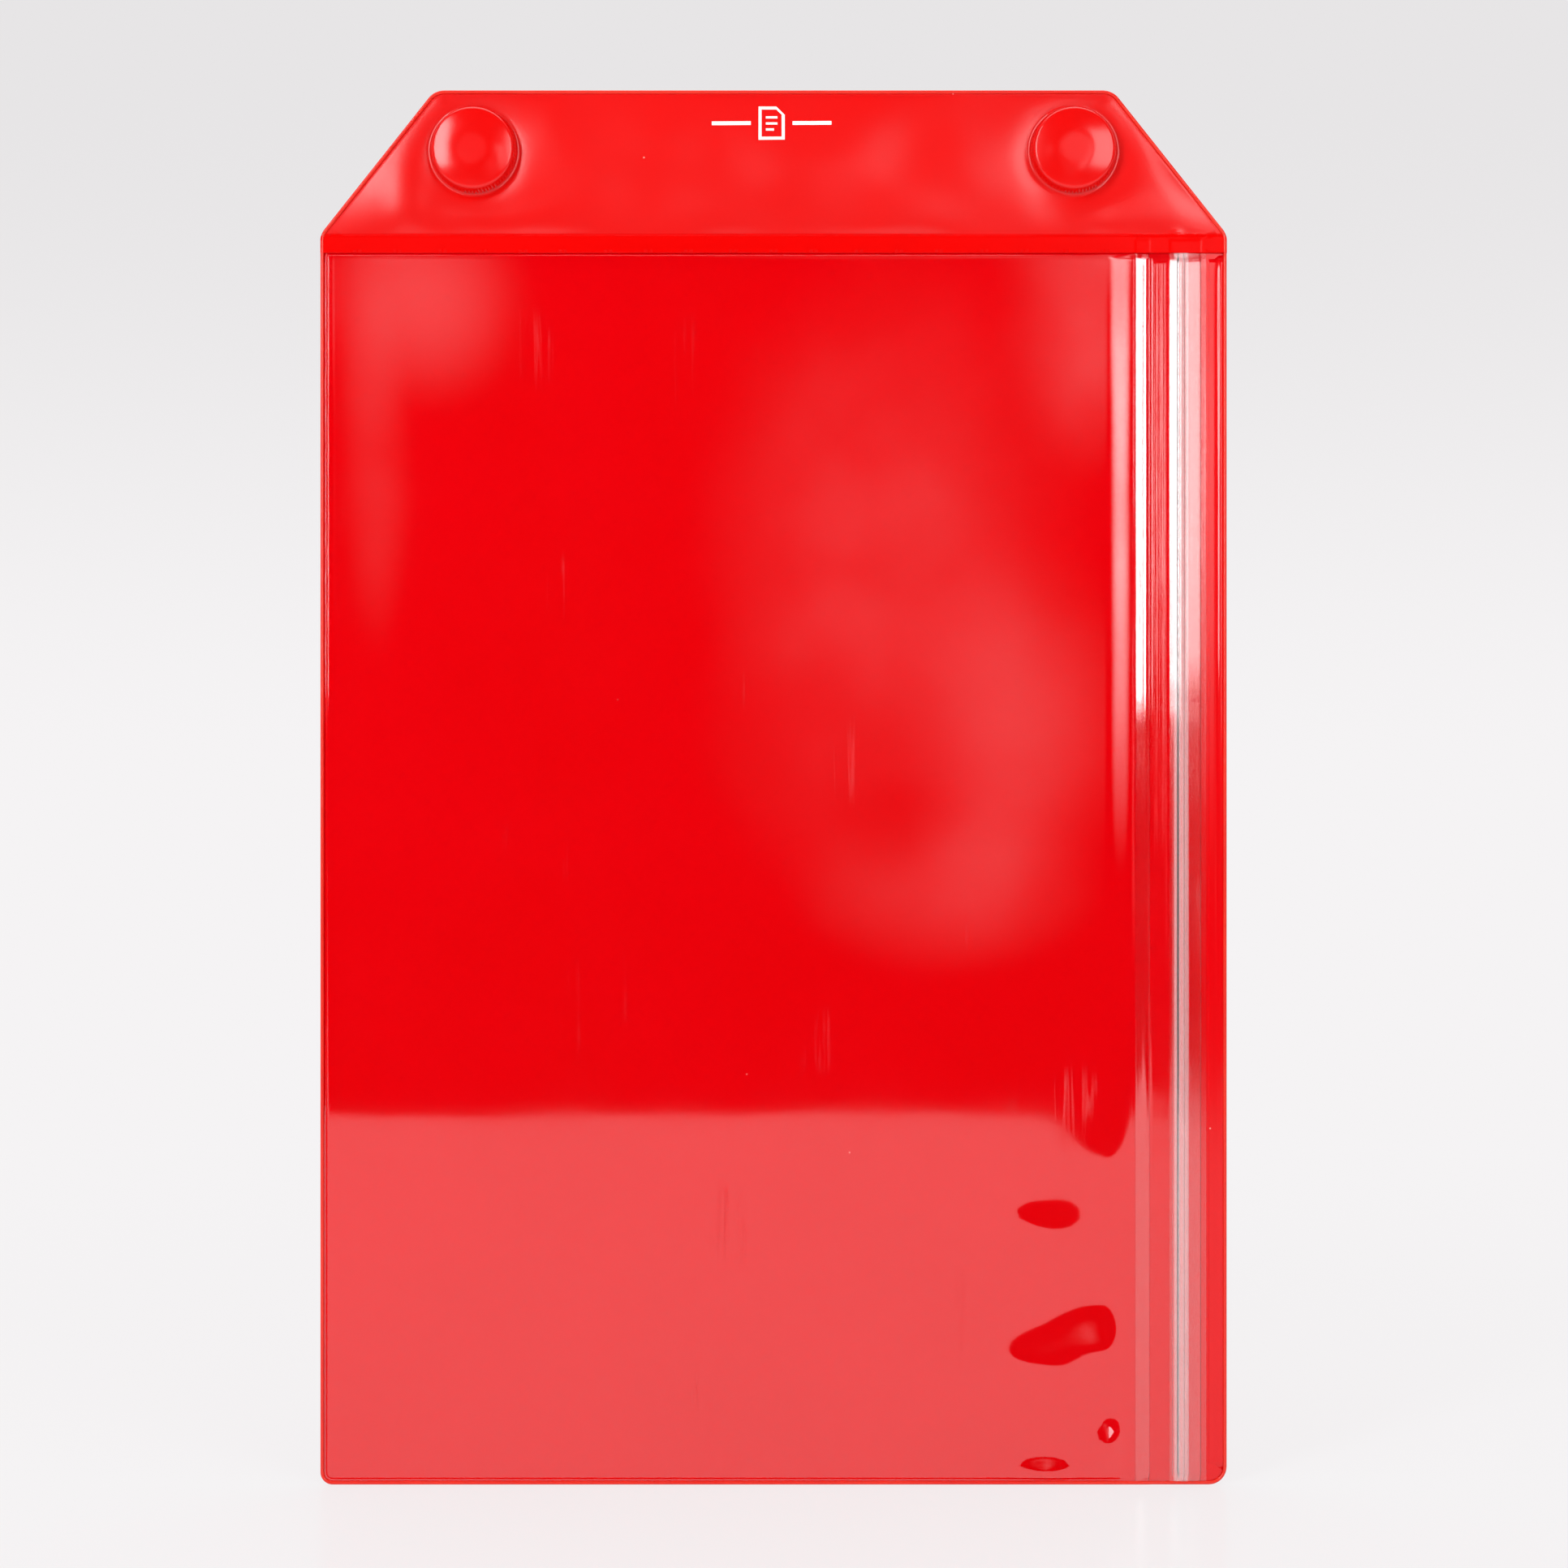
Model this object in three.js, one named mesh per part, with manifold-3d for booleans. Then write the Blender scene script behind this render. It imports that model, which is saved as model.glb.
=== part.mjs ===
// Magnetic document pocket, upright as it hangs on a steel surface.
//
// A red PVC back sheet carries a clear front film, welded to it along the left side and the foot
// and, at the top, under a red header sheet. The right side is the mouth, shut by a press-to-close
// strip: its front half is welded to the film, its back half to the back sheet. Two pot magnets
// under moulded caps lie between the back sheet and the header, which is formed over them as domes.
//
// Millimetres. +X is to the right seen from the front, +Y points into the surface that the pocket
// hangs on, +Z is up. The origin is on the back face, midway between the two magnets. A "front"
// value is a distance in front of the back face, so it lies at y = -front.

import * as THREE from 'three';
import { mergeVertices } from 'three/addons/utils/BufferGeometryUtils.js';
import Module from 'manifold-3d';

const wasm = await Module();
wasm.setup();

const mix = (a, b, t) => a + (b - a) * t;
const ramp = (t) => {
  const s = THREE.MathUtils.clamp(t, 0, 1);
  return s * s * (3 - 2 * s);
};

// Outline of the back sheet
const pocketWidth = 235;
const pocketHeight = 361.5;
const cutCornerWidth = 29.6;
const cutCornerHeight = 37.3;
const topCornerRadius = 5.3;
const shoulderRadius = 4.8;
const footRadiusLeft = 3.2;
const footRadiusRight = 4.6;
const cornerSteps = 6; // straight pieces round each corner

// Sheets
const backThickness = 0.45;
const headerThickness = 0.35;
const windowThickness = 0.3;
const faceGap = 0.05; // between faces that are welded or lie on each other

// Welds
const rimWidth = 1.3;
const beadWidth = 0.55;
const beadHeight = 0.25;
const beadTopShare = 0.6; // of the bead's width that is flat
const grooveDepth = 0.15; // of the bare rim weld, inside its bead
const pressedThickness = 0.2; // of a sheet inside a weld
const seamBelowTop = 42.2; // header's lower edge, under the pocket's top edge
const seamHeight = 5.3;
const windowTuck = 4; // how far the film reaches up under the header
const stripTuck = 3.4; // and how far the strip does
const lapClearance = 0.3; // above the film's edge, before the header steps down to the back sheet
const lapRise = 0.6; // height over which it steps down
const headerStandOff = 0.2; // loose header sheet, in front of the back sheet
const headerRise = 1.1; // width of the slope from a weld up to the loose header

// Magnets and their caps
const magnetBelowTop = 15.6;
const magnetFromSide = 39.8;
const capRadius = 10.3;
const capRimHeight = 3.4;
const capHeight = 5;
const capTopRadius = 4.6;
const capWall = 1.3;
const capEdgeRadius = 0.5;
const capTopDrop = 0.1; // where its flat top turns into the cone
const cupHeight = 3;
const cupWall = 1.1;
const cupClearance = 0.1;
const cupChamfer = 0.4;
const discRadius = 6.9;
const discThickness = 1.9;

// Header domes over the magnets
const domeClearance = 0.15;
const domeFoot = 0.3; // how much wider the dome is at its foot
const ringWeldWidth = 0.8;
const ringRise = 0.9;
const domeOverlap = 0.3; // of the dome's skirt with the plate that it joins
const domeTopRound = 0.45; // on either side of the edge between the flat and the cone
const domeTopDrop = 0.07; // of the sheet over that edge
const domeShoulder = 1.5; // width of the round shoulder between the cone and the wall
const domeShoulderRise = 0.18; // of the shoulder's inner end over the cap's edge
const domeShoulderDrop = 0.22; // of its middle under it
const domeWallDrop = 0.35; // of its outer end under it
const domeToe = 0.45; // height at which the wall turns out to the ring weld
const domeInnerToe = 0.25;
const domeInnerFoot = 0.15; // how far the dome's hollow stays inside the ring weld
const domeSteps = 48;

// Press-to-close strip, with its places measured in from the pocket's right side
const tapeThickness = 0.25;
const frontTapeFrom = 23.7;
const frontTapeTo = 6.9;
const backTapeFrom = 14.8;
const backTapeTo = 5.3;
const windowLap = 3.5; // film welded over the front tape
const profileFromSide = 11.9;
const profileHeight = 1.4; // between the two tapes
const headHalfWidth = 0.62;
const headHeight = 0.6;
const stemHalfWidth = 0.24;
const arrowEdge = 0.14; // height of the arrow head's widest part
const hookClearance = 0.1;
const jawThickness = 0.42;
const jawLeadIn = 0.12; // slope that guides the arrow head in
const jawBevel = 0.15;
const guideHeight = 0.4;
const guideHalfWidth = 0.22;
const guideOffset = 2.05;
const gripRibHeight = 0.14;
const gripRibHalfWidth = 0.2;
const gripRibPitch = 0.95;
const gripRibCount = 3;
const pressedTape = 0.08; // a tape inside a weld
const crushLength = 1.6; // over which the strip comes down to a weld
const crushedShare = 0.35; // of its height that the profile keeps where it ends
const stripIntoWeld = 0.7;
const profileIntoTape = 0.04; // overlap of a profile with its own tape

// Slack of the clear film
const pillowHeight = 1.5;
const leftSlack = 0.15;
const windowRise = 7; // over which the loose film leaves a weld
const tapeStep = 1.5; // width over which the film climbs on to the front tape
const tapeStepBefore = 0.5; // from the end of that climb to the tape
const foldHeight = 0.28;
const windowColumns = 18;
const windowRows = 26;

// Places that follow from the sizes
const beadEdge = beadWidth * mix(beadTopShare, 1, 0.5);
const left = -pocketWidth / 2;
const right = pocketWidth / 2;
const top = magnetBelowTop;
const foot = top - pocketHeight;
const shoulder = top - cutCornerHeight;
const headerFoot = top - seamBelowTop;
const windowTop = headerFoot + windowTuck;
const tapeLeft = right - frontTapeFrom;
const windowRight = tapeLeft + windowLap;
const magnetX = right - magnetFromSide;
const seat = backThickness + faceGap; // front of the lowest face that lies on the back sheet

// Fronts of the strip's layers where it is free, from the back sheet outwards
const backTapeFront = seat + tapeThickness;
const frontTapeBack = backTapeFront + profileHeight;
const frontTapeFront = frontTapeBack + tapeThickness;
const windowOverTape = frontTapeFront + faceGap;

// The same layers pressed inside a weld
const pressedStack = [
  [seat, seat],
  [backTapeFront, seat + pressedTape],
  [frontTapeBack, seat + pressedTape + faceGap],
  [frontTapeFront, seat + 2 * pressedTape + faceGap],
  [windowOverTape, seat + 2 * pressedTape + 2 * faceGap],
  [windowOverTape + windowThickness, seat + 3 * pressedTape + 2 * faceGap],
];
const headerOverWindow = pressedStack.at(-1)[1] + faceGap;

/** A front inside a weld, from the same front where the strip is free. */
function pressed(front) {
  const k = Math.max(1, pressedStack.findIndex(([free], i) => i > 0 && front <= free));
  const [[freeA, weldA], [freeB, weldB]] = [pressedStack[k - 1], pressedStack[k]];
  return mix(weldA, weldB, (front - freeA) / (freeB - freeA));
}

/** 0 inside the foot's and the header's welds, 1 where the strip has its whole height. */
function freedom(z) {
  const overFoot = (z - (foot + rimWidth)) / crushLength;
  const underHeader = (headerFoot - z) / crushLength;
  return THREE.MathUtils.clamp(Math.min(overFoot, underHeader), 0, 1);
}

// Booleans

function toSolid(geometry) {
  const bare = new THREE.BufferGeometry()
    .setAttribute('position', geometry.getAttribute('position'))
    .setIndex(geometry.getIndex());
  const merged = mergeVertices(bare, 1e-4);
  return new wasm.Manifold(new wasm.Mesh({
    numProp: 3,
    vertProperties: merged.getAttribute('position').array,
    triVerts: new Uint32Array(merged.getIndex().array),
  }));
}

function toGeometry(solid) {
  const { vertProperties, triVerts } = solid.getMesh();
  return new THREE.BufferGeometry()
    .setAttribute('position', new THREE.BufferAttribute(vertProperties, 3))
    .setIndex(new THREE.BufferAttribute(triVerts, 1));
}

// Outlines and lofts

/** Points of a convex outline of { x, z, radius }, anticlockwise seen from the front, drawn in by inset. */
function outlinePoints(corners, inset = 0) {
  const normals = corners.map((corner, i) => {
    const next = corners[(i + 1) % corners.length];
    return new THREE.Vector2(next.z - corner.z, corner.x - next.x).normalize();
  });
  return corners.flatMap((corner, i) => {
    const [before, after] = [normals.at(i - 1), normals[i]];
    const toCentre = before.clone().add(after).multiplyScalar(-corner.radius / (1 + before.dot(after)));
    const radius = corner.radius - inset;
    const start = before.angle();
    const turn = THREE.MathUtils.euclideanModulo(after.angle() - start, 2 * Math.PI);
    return Array.from({ length: cornerSteps + 1 }, (_, k) => {
      const angle = start + (turn * k) / cornerSteps;
      const x = corner.x + toCentre.x + radius * Math.cos(angle);
      return new THREE.Vector2(x, corner.z + toCentre.y + radius * Math.sin(angle));
    });
  });
}

/** A closed solid through rings of [x, y, z], each anticlockwise seen from the front, back to front. */
function ringSolid(rings) {
  const count = rings[0].length;
  const index = [];
  for (let k = 0; k + 1 < rings.length; k += 1) {
    for (let j = 0; j < count; j += 1) {
      const [a, b] = [k * count + j, k * count + ((j + 1) % count)];
      index.push(a, b, b + count, a, b + count, a + count);
    }
  }
  const middles = [rings[0], rings.at(-1)].map((ring) =>
    [0, 1, 2].map((axis) => ring.reduce((sum, point) => sum + point[axis] / count, 0)));
  const [middle, last] = [rings.length * count, (rings.length - 1) * count];
  for (let j = 0; j < count; j += 1) {
    const next = (j + 1) % count;
    index.push(middle, next, j, middle + 1, last + j, last + next);
  }
  const geometry = new THREE.BufferGeometry()
    .setAttribute('position', new THREE.Float32BufferAttribute([...rings.flat(), ...middles].flat(), 3))
    .setIndex(index);
  return toSolid(geometry);
}

const ringAt = (points, frontOf) => points.map((p) => [p.x, -frontOf(p.x, p.y), p.y]);

/** The space between two fronts inside an outline. */
function prism(corners, frontA, frontB, inset = 0) {
  const points = outlinePoints(corners, inset);
  return ringSolid([ringAt(points, () => frontA), ringAt(points, () => frontB)]);
}

/** A sheet over a grid of columns xs and rows zs, between the fronts under(x, z) and over(x, z). */
function drapedSheet(xs, zs, under, over) {
  const [columns, rows] = [xs.length, zs.length];
  const layer = (frontOf) => zs.flatMap((z) => xs.map((x) => [x, -frontOf(x, z), z]));
  const corners = [...layer(under), ...layer(over)];
  const at = (i, j, side) => side * columns * rows + j * columns + i;
  const index = [];
  const quad = (a, b, c, d) => index.push(a, b, c, a, c, d);
  for (let j = 0; j + 1 < rows; j += 1) {
    for (let i = 0; i + 1 < columns; i += 1) {
      quad(at(i, j, 1), at(i + 1, j, 1), at(i + 1, j + 1, 1), at(i, j + 1, 1));
      quad(at(i, j, 0), at(i, j + 1, 0), at(i + 1, j + 1, 0), at(i + 1, j, 0));
    }
  }
  for (let i = 0; i + 1 < columns; i += 1) {
    quad(at(i, 0, 0), at(i + 1, 0, 0), at(i + 1, 0, 1), at(i, 0, 1));
    quad(at(i + 1, rows - 1, 0), at(i, rows - 1, 0), at(i, rows - 1, 1), at(i + 1, rows - 1, 1));
  }
  for (let j = 0; j + 1 < rows; j += 1) {
    quad(at(columns - 1, j, 0), at(columns - 1, j + 1, 0), at(columns - 1, j + 1, 1), at(columns - 1, j, 1));
    quad(at(0, j + 1, 0), at(0, j, 0), at(0, j, 1), at(0, j + 1, 1));
  }
  const geometry = new THREE.BufferGeometry()
    .setAttribute('position', new THREE.Float32BufferAttribute(corners.flat(), 3))
    .setIndex(index);
  return toSolid(geometry);
}

/** A turned solid from [radius, front] points that start and end on the axis, front end first. */
function turned(points, steps = domeSteps) {
  const profile = points.map(([radius, front]) => new THREE.Vector2(radius, -front));
  return toSolid(new THREE.LatheGeometry(profile, steps));
}

// Outlines of the sheets

const pocketCorners = [
  { x: left, z: foot, radius: footRadiusLeft },
  { x: right, z: foot, radius: footRadiusRight },
  { x: right, z: shoulder, radius: shoulderRadius },
  { x: right - cutCornerWidth, z: top, radius: topCornerRadius },
  { x: left + cutCornerWidth, z: top, radius: topCornerRadius },
  { x: left, z: shoulder, radius: shoulderRadius },
];

// Red back sheet

/** A bead and the groove inside it, pressed into the back sheet where no other sheet covers its rim. */
function bareRim(sheet) {
  const beyond = new THREE.BoxGeometry(pocketWidth, 4 * backThickness, headerFoot - foot);
  beyond.translate(windowRight + faceGap + pocketWidth / 2, -backThickness, (headerFoot + foot) / 2 - faceGap);
  const zone = toSolid(beyond);
  const inner = prism(pocketCorners, 0, 2 * backThickness, beadWidth);
  const bead = prism(pocketCorners, backThickness / 2, backThickness + beadHeight).subtract(inner);
  const grooveOuter = prism(pocketCorners, backThickness - grooveDepth, backThickness + beadHeight, beadWidth);
  const groove = grooveOuter.subtract(prism(pocketCorners, 0, 2 * backThickness, rimWidth));
  return sheet.subtract(groove.intersect(zone)).add(bead.intersect(zone));
}

function backSheet() {
  return bareRim(prism(pocketCorners, 0, backThickness));
}

// Red header sheet

const weldFront = seat + pressedThickness;
const looseBack = backThickness + headerStandOff;
const looseFront = looseBack + headerThickness;
const seamTop = headerFoot + seamHeight;

/** The header above its seam: a rim weld with its bead, and the loose sheet inside it. */
function headerPlate() {
  const station = (inset, front) => ringAt(outlinePoints(pocketCorners, inset), () => front);
  const whole = ringSolid([
    station(rimWidth + headerRise, looseBack),
    station(rimWidth, seat),
    station(0, seat),
    station(0, weldFront + beadHeight),
    station(beadWidth * beadTopShare, weldFront + beadHeight),
    station(beadWidth, weldFront),
    station(rimWidth, weldFront),
    station(rimWidth + headerRise, looseFront),
  ]);
  const below = new THREE.BoxGeometry(pocketWidth * 1.1, 4 * looseFront, pocketHeight);
  return whole.subtract(toSolid(below.translate(0, 0, seamTop - pocketHeight / 2)));
}

/** The seam that welds the header down, over the top of the film and then on the back sheet. */
function headerSeam() {
  const lapEnd = windowTop + lapClearance;
  const bead = [beadWidth * beadTopShare, beadWidth];
  const xs = [left, ...bead.map((d) => left + d), ...bead.map((d) => right - d).reverse(), right];
  const zs = [headerFoot, lapEnd, lapEnd + lapRise, seamTop, seamTop + lapRise];
  const under = (x, z) => {
    const step = THREE.MathUtils.clamp((z - lapEnd) / lapRise, 0, 1);
    return mix(headerOverWindow, z > seamTop ? looseBack : seat, step);
  };
  const over = (x, z) => {
    const thickness = z > seamTop ? headerThickness : pressedThickness;
    const onBead = Math.min(x - left, right - x) < beadEdge && z <= seamTop;
    return under(x, z) + thickness + (onBead ? beadHeight : 0);
  };
  return drapedSheet(xs, zs, under, over).intersect(prism(pocketCorners, 0, domeFront));
}

const domeRadius = capRadius + domeClearance + headerThickness;
const domeFront = seat + capHeight + domeClearance + headerThickness;
const ringWeldFrom = domeRadius + domeFoot;
const domeSkirt = ringWeldFrom + ringWeldWidth + ringRise;

/** The header where it is formed over a magnet: a dome, a ring weld round it, and a loose skirt. */
function dome() {
  const t = headerThickness;
  const rimFront = seat + capRimHeight + domeClearance;
  const topFront = seat + capHeight + domeClearance;
  const wall = capRadius + domeClearance;
  const ringTo = ringWeldFrom + ringWeldWidth;
  const outer = [
    [0, topFront + t],
    [capTopRadius - domeTopRound, topFront + t],
    [capTopRadius + domeTopRound, topFront + t - domeTopDrop],
    [domeRadius - domeShoulder, rimFront + t + domeShoulderRise],
    [domeRadius - domeShoulder / 3, rimFront + t - domeShoulderDrop],
    [domeRadius, rimFront - domeWallDrop],
    [domeRadius + domeFoot * 0.7, weldFront + domeToe],
    [ringWeldFrom, weldFront],
    [ringTo, weldFront],
    [ringTo + ringRise * 0.5, mix(weldFront, looseBack + t, 0.75)],
    [domeSkirt, looseBack + t],
    [domeSkirt + domeOverlap, looseBack + t],
  ];
  const inner = [
    [domeSkirt + domeOverlap, looseBack],
    [domeSkirt, looseBack],
    [ringTo, seat],
    [ringWeldFrom - domeInnerFoot, seat],
    [wall + domeFoot * 0.5, seat + domeInnerToe],
    [wall, seat + capRimHeight - capEdgeRadius],
    [wall - capEdgeRadius, rimFront],
    [capTopRadius, topFront],
    [0, topFront],
  ];
  return turned([...outer, ...inner]);
}

function headerSheet() {
  const opening = turned([[0, domeFront], [domeSkirt, domeFront], [domeSkirt, 0], [0, 0]]);
  let sheet = headerPlate().add(headerSeam());
  for (const x of [-magnetX, magnetX]) {
    sheet = sheet.subtract(opening.translate([x, 0, 0])).add(dome().translate([x, 0, 0]));
  }
  return sheet;
}

// Clear film

/** Front of the film's back face where it is loose: slack in the middle, lifted by the strip on the right. */
function looseWindow(x, z) {
  const u = THREE.MathUtils.clamp((x - left - rimWidth) / (tapeLeft - left - rimWidth), 0, 1);
  const v = THREE.MathUtils.clamp((z - foot) / (headerFoot - foot), 0, 1);
  const chord = mix(leftSlack, windowOverTape - seat, ramp(u) ** 2);
  const pillow = pillowHeight * Math.sin(Math.PI * u) * Math.sin(Math.PI * v) ** 0.6;
  const folds = foldHeight * Math.sin(Math.PI * u) * Math.sin(3.1 * Math.PI * v + 2.2 * u);
  return seat + Math.max(chord + pillow + folds * Math.sin(Math.PI * v), leftSlack);
}

/** How far the film has left its welds at a point, 0 inside a weld. Over the tape it follows the strip. */
function windowFreedom(x, z) {
  const nearStrip = ramp((x - (tapeLeft - windowRise)) / windowRise);
  const alongStrip = freedom(z);
  const fromFoot = ramp((z - foot - rimWidth) / windowRise);
  const fromHeader = ramp((headerFoot - z) / windowRise);
  const fromSide = ramp((x - left - rimWidth) / windowRise);
  return mix(Math.min(fromFoot, fromHeader), alongStrip, nearStrip) * fromSide;
}

function windowBack(x, z) {
  const overTape = ramp((x - (tapeLeft - tapeStepBefore - tapeStep)) / tapeStep);
  const weld = mix(seat, pressed(windowOverTape), overTape);
  const loose = mix(looseWindow(x, z), windowOverTape, overTape);
  return mix(weld, loose, windowFreedom(x, z));
}

function windowFront(x, z) {
  const overTape = ramp((x - (tapeLeft - tapeStepBefore - tapeStep)) / tapeStep);
  const weld = mix(pressedThickness, pressedTape, overTape);
  const nearOutside = x < left + beadEdge || z < foot + beadEdge;
  const bead = nearOutside && z < headerFoot ? beadHeight : 0;
  return windowBack(x, z) + mix(weld, windowThickness, windowFreedom(x, z)) + bead;
}

/** Values from a to b with the given spacing near both ends, and even steps between. */
function gradedSteps(a, nearA, b, nearB, count) {
  const [from, to] = [a + nearA.at(-1), b - nearB.at(-1)];
  const middle = Array.from({ length: count - 1 }, (_, i) => mix(from, to, (i + 1) / count));
  return [a, ...nearA.map((d) => a + d), ...middle, ...nearB.map((d) => b - d).reverse(), b];
}

function windowFilm() {
  const bead = [beadWidth * beadTopShare, beadWidth];
  const leaving = [0.25, 0.5, 1].map((share) => rimWidth + windowRise * share);
  const climb = [0, 0.5, 1].map((share) => windowLap + tapeStepBefore + tapeStep * share);
  const lap = [windowLap, ...climb, windowLap + windowRise];
  const underHeader = [stripTuck, windowTuck, windowTuck + 0.3, windowTuck + crushLength];
  const xs = gradedSteps(left, [...bead, rimWidth, ...leaving], windowRight, lap, windowColumns);
  const zs = gradedSteps(
    foot, [...bead, rimWidth, rimWidth + crushLength, ...leaving.slice(1)],
    windowTop, [...underHeader, windowTuck + windowRise * 0.5, windowTuck + windowRise], windowRows,
  );
  const sheet = drapedSheet(xs, zs, windowBack, windowFront);
  return sheet.intersect(prism(pocketCorners, 0, domeFront));
}

// Press-to-close strip

/** A length of the strip from its free section, [x, front] points anticlockwise seen from above. */
function stripLength(section, stations) {
  const count = section.length;
  const corners = stations.flatMap(({ z, freedomHere }) =>
    section.map(([x, front]) => [x, -mix(pressed(front), front, freedomHere), z]));
  const index = [];
  for (let k = 0; k + 1 < stations.length; k += 1) {
    for (let j = 0; j < count; j += 1) {
      const [a, b] = [k * count + j, k * count + ((j + 1) % count)];
      index.push(a, b, b + count, a, b + count, a + count);
    }
  }
  const flat = section.map(([x, front]) => new THREE.Vector2(x, -front));
  const last = (stations.length - 1) * count;
  for (const [p, q, r] of THREE.ShapeUtils.triangulateShape(flat, [])) {
    index.push(p, r, q, last + p, last + q, last + r);
  }
  const geometry = new THREE.BufferGeometry()
    .setAttribute('position', new THREE.Float32BufferAttribute(corners.flat(), 3))
    .setIndex(index);
  return toSolid(geometry);
}

const footWeld = foot + rimWidth;
const tapeStations = [
  { z: footWeld - stripIntoWeld, freedomHere: 0 },
  { z: footWeld, freedomHere: 0 },
  { z: footWeld + crushLength, freedomHere: 1 },
  { z: headerFoot - crushLength, freedomHere: 1 },
  { z: headerFoot, freedomHere: 0 },
  { z: headerFoot + stripTuck, freedomHere: 0 },
];
const profileStations = [
  { z: footWeld + crushLength * crushedShare, freedomHere: crushedShare },
  { z: footWeld + crushLength, freedomHere: 1 },
  { z: headerFoot - crushLength, freedomHere: 1 },
  { z: headerFoot - crushLength * crushedShare, freedomHere: crushedShare },
];

const profileX = right - profileFromSide;

const tape = (from, to, back) => stripLength([
  [right - from, back + tapeThickness],
  [right - to, back + tapeThickness],
  [right - to, back],
  [right - from, back],
], tapeStations);

/** A small rib with sloped sides, on a tape's face at front, standing up by height. */
function rib(x, halfWidth, front, height) {
  const root = front - Math.sign(height) * profileIntoTape;
  const points = [[x - halfWidth, root], [x + halfWidth, root], [x + halfWidth * 0.5, front + height]];
  points.push([x - halfWidth * 0.5, front + height]);
  return stripLength(height > 0 ? points.reverse() : points, profileStations);
}

/** Back half: a stem with an arrow head, between two guide ribs. */
function backStrip() {
  const neck = backTapeFront + profileHeight - hookClearance - headHeight;
  const tip = backTapeFront + profileHeight - hookClearance;
  const arrow = [
    [-stemHalfWidth, backTapeFront - profileIntoTape],
    [-stemHalfWidth, neck],
    [-headHalfWidth, neck],
    [-headHalfWidth, neck + arrowEdge],
    [-stemHalfWidth * 0.8, tip],
    [stemHalfWidth * 0.8, tip],
    [headHalfWidth, neck + arrowEdge],
    [headHalfWidth, neck],
    [stemHalfWidth, neck],
    [stemHalfWidth, backTapeFront - profileIntoTape],
  ].map(([x, front]) => [profileX + x, front]);
  let half = tape(backTapeFrom, backTapeTo, seat).add(stripLength(arrow, profileStations));
  for (const side of [-1, 1]) {
    half = half.add(rib(profileX + side * guideOffset, guideHalfWidth, backTapeFront, guideHeight));
  }
  return half;
}

/** Front half: two jaws that hook behind the arrow head, and grip ribs on the outer face. */
function frontStrip() {
  const mouth = stemHalfWidth + hookClearance;
  const cavity = headHalfWidth + hookClearance;
  const outside = cavity + jawThickness;
  const neck = backTapeFront + profileHeight - hookClearance - headHeight;
  const hookFront = neck - hookClearance;
  const lipBack = backTapeFront + hookClearance;
  const jaw = (side) => [
    [cavity, frontTapeBack + profileIntoTape],
    [cavity, hookFront],
    [mouth, hookFront],
    [mouth + jawLeadIn, lipBack],
    [outside - jawBevel, lipBack],
    [outside, hookFront],
    [outside, frontTapeBack + profileIntoTape],
  ].map(([x, front]) => [profileX + side * x, front]);
  let half = tape(frontTapeFrom, frontTapeTo, frontTapeBack);
  half = half.add(stripLength(jaw(-1), profileStations));
  half = half.add(stripLength(jaw(1).reverse(), profileStations));
  for (let k = 0; k < gripRibCount; k += 1) {
    const x = profileX + (k - (gripRibCount - 1) / 2) * gripRibPitch;
    half = half.add(rib(x, gripRibHalfWidth, frontTapeFront, gripRibHeight));
  }
  return half;
}

// Magnets, each a disc in a steel cup under a moulded cap

const cupRadius = capRadius - capWall - cupClearance;

function magnetDisc() {
  const front = seat + discThickness;
  return turned([[0, front], [discRadius, front], [discRadius, seat], [0, seat]]);
}

function magnetCup() {
  const [back, front] = [seat, seat + cupHeight];
  const floor = seat + discThickness + faceGap;
  return turned([
    [0, front], [cupRadius - cupChamfer, front], [cupRadius, front - cupChamfer], [cupRadius, back],
    [cupRadius - cupWall, back], [cupRadius - cupWall, floor], [0, floor],
  ]);
}

function magnetCap() {
  const [back, rim, front] = [seat, seat + capRimHeight, seat + capHeight];
  const ceiling = seat + cupHeight + faceGap;
  const edge = capEdgeRadius;
  return turned([
    [0, front], [capTopRadius - edge / 2, front], [capTopRadius + edge / 2, front - capTopDrop],
    [capRadius - edge, rim], [capRadius - edge * 0.25, rim - edge * 0.35], [capRadius, rim - edge],
    [capRadius, back], [capRadius - capWall, back], [capRadius - capWall, ceiling], [0, ceiling],
  ]);
}

// Materials

const material = (color, roughness, metalness, opacity = 1) =>
  new THREE.MeshStandardMaterial({ color, roughness, metalness, opacity, transparent: opacity < 1 });

const redSheet = material(0xe8080a, 0.3, 0);
const clearFilm = material(0xfbeef0, 0.08, 0, 0.2);
const clearStrip = material(0xf7e6e8, 0.2, 0, 0.45);
const capPlastic = material(0x2b2b2e, 0.55, 0);
const platedSteel = material(0xb9bcc0, 0.3, 1);
const magnetPlating = material(0xc9cbce, 0.2, 1);

// The pocket

const pocket = new THREE.Group();

function add(name, solid, look, x = 0) {
  const mesh = new THREE.Mesh(toGeometry(solid), look);
  mesh.name = name;
  mesh.position.x = x;
  pocket.add(mesh);
}

add('back_sheet', backSheet(), redSheet);
add('header_sheet', headerSheet(), redSheet);
add('window_film', windowFilm(), clearFilm);
add('zip_back_half', backStrip(), clearStrip);
add('zip_front_half', frontStrip(), clearStrip);
for (const [side, x] of [['left', -magnetX], ['right', magnetX]]) {
  add(`magnet_cap_${side}`, magnetCap(), capPlastic, x);
  add(`magnet_cup_${side}`, magnetCup(), platedSteel, x);
  add(`magnet_disc_${side}`, magnetDisc(), magnetPlating, x);
}

export default pocket;
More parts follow.
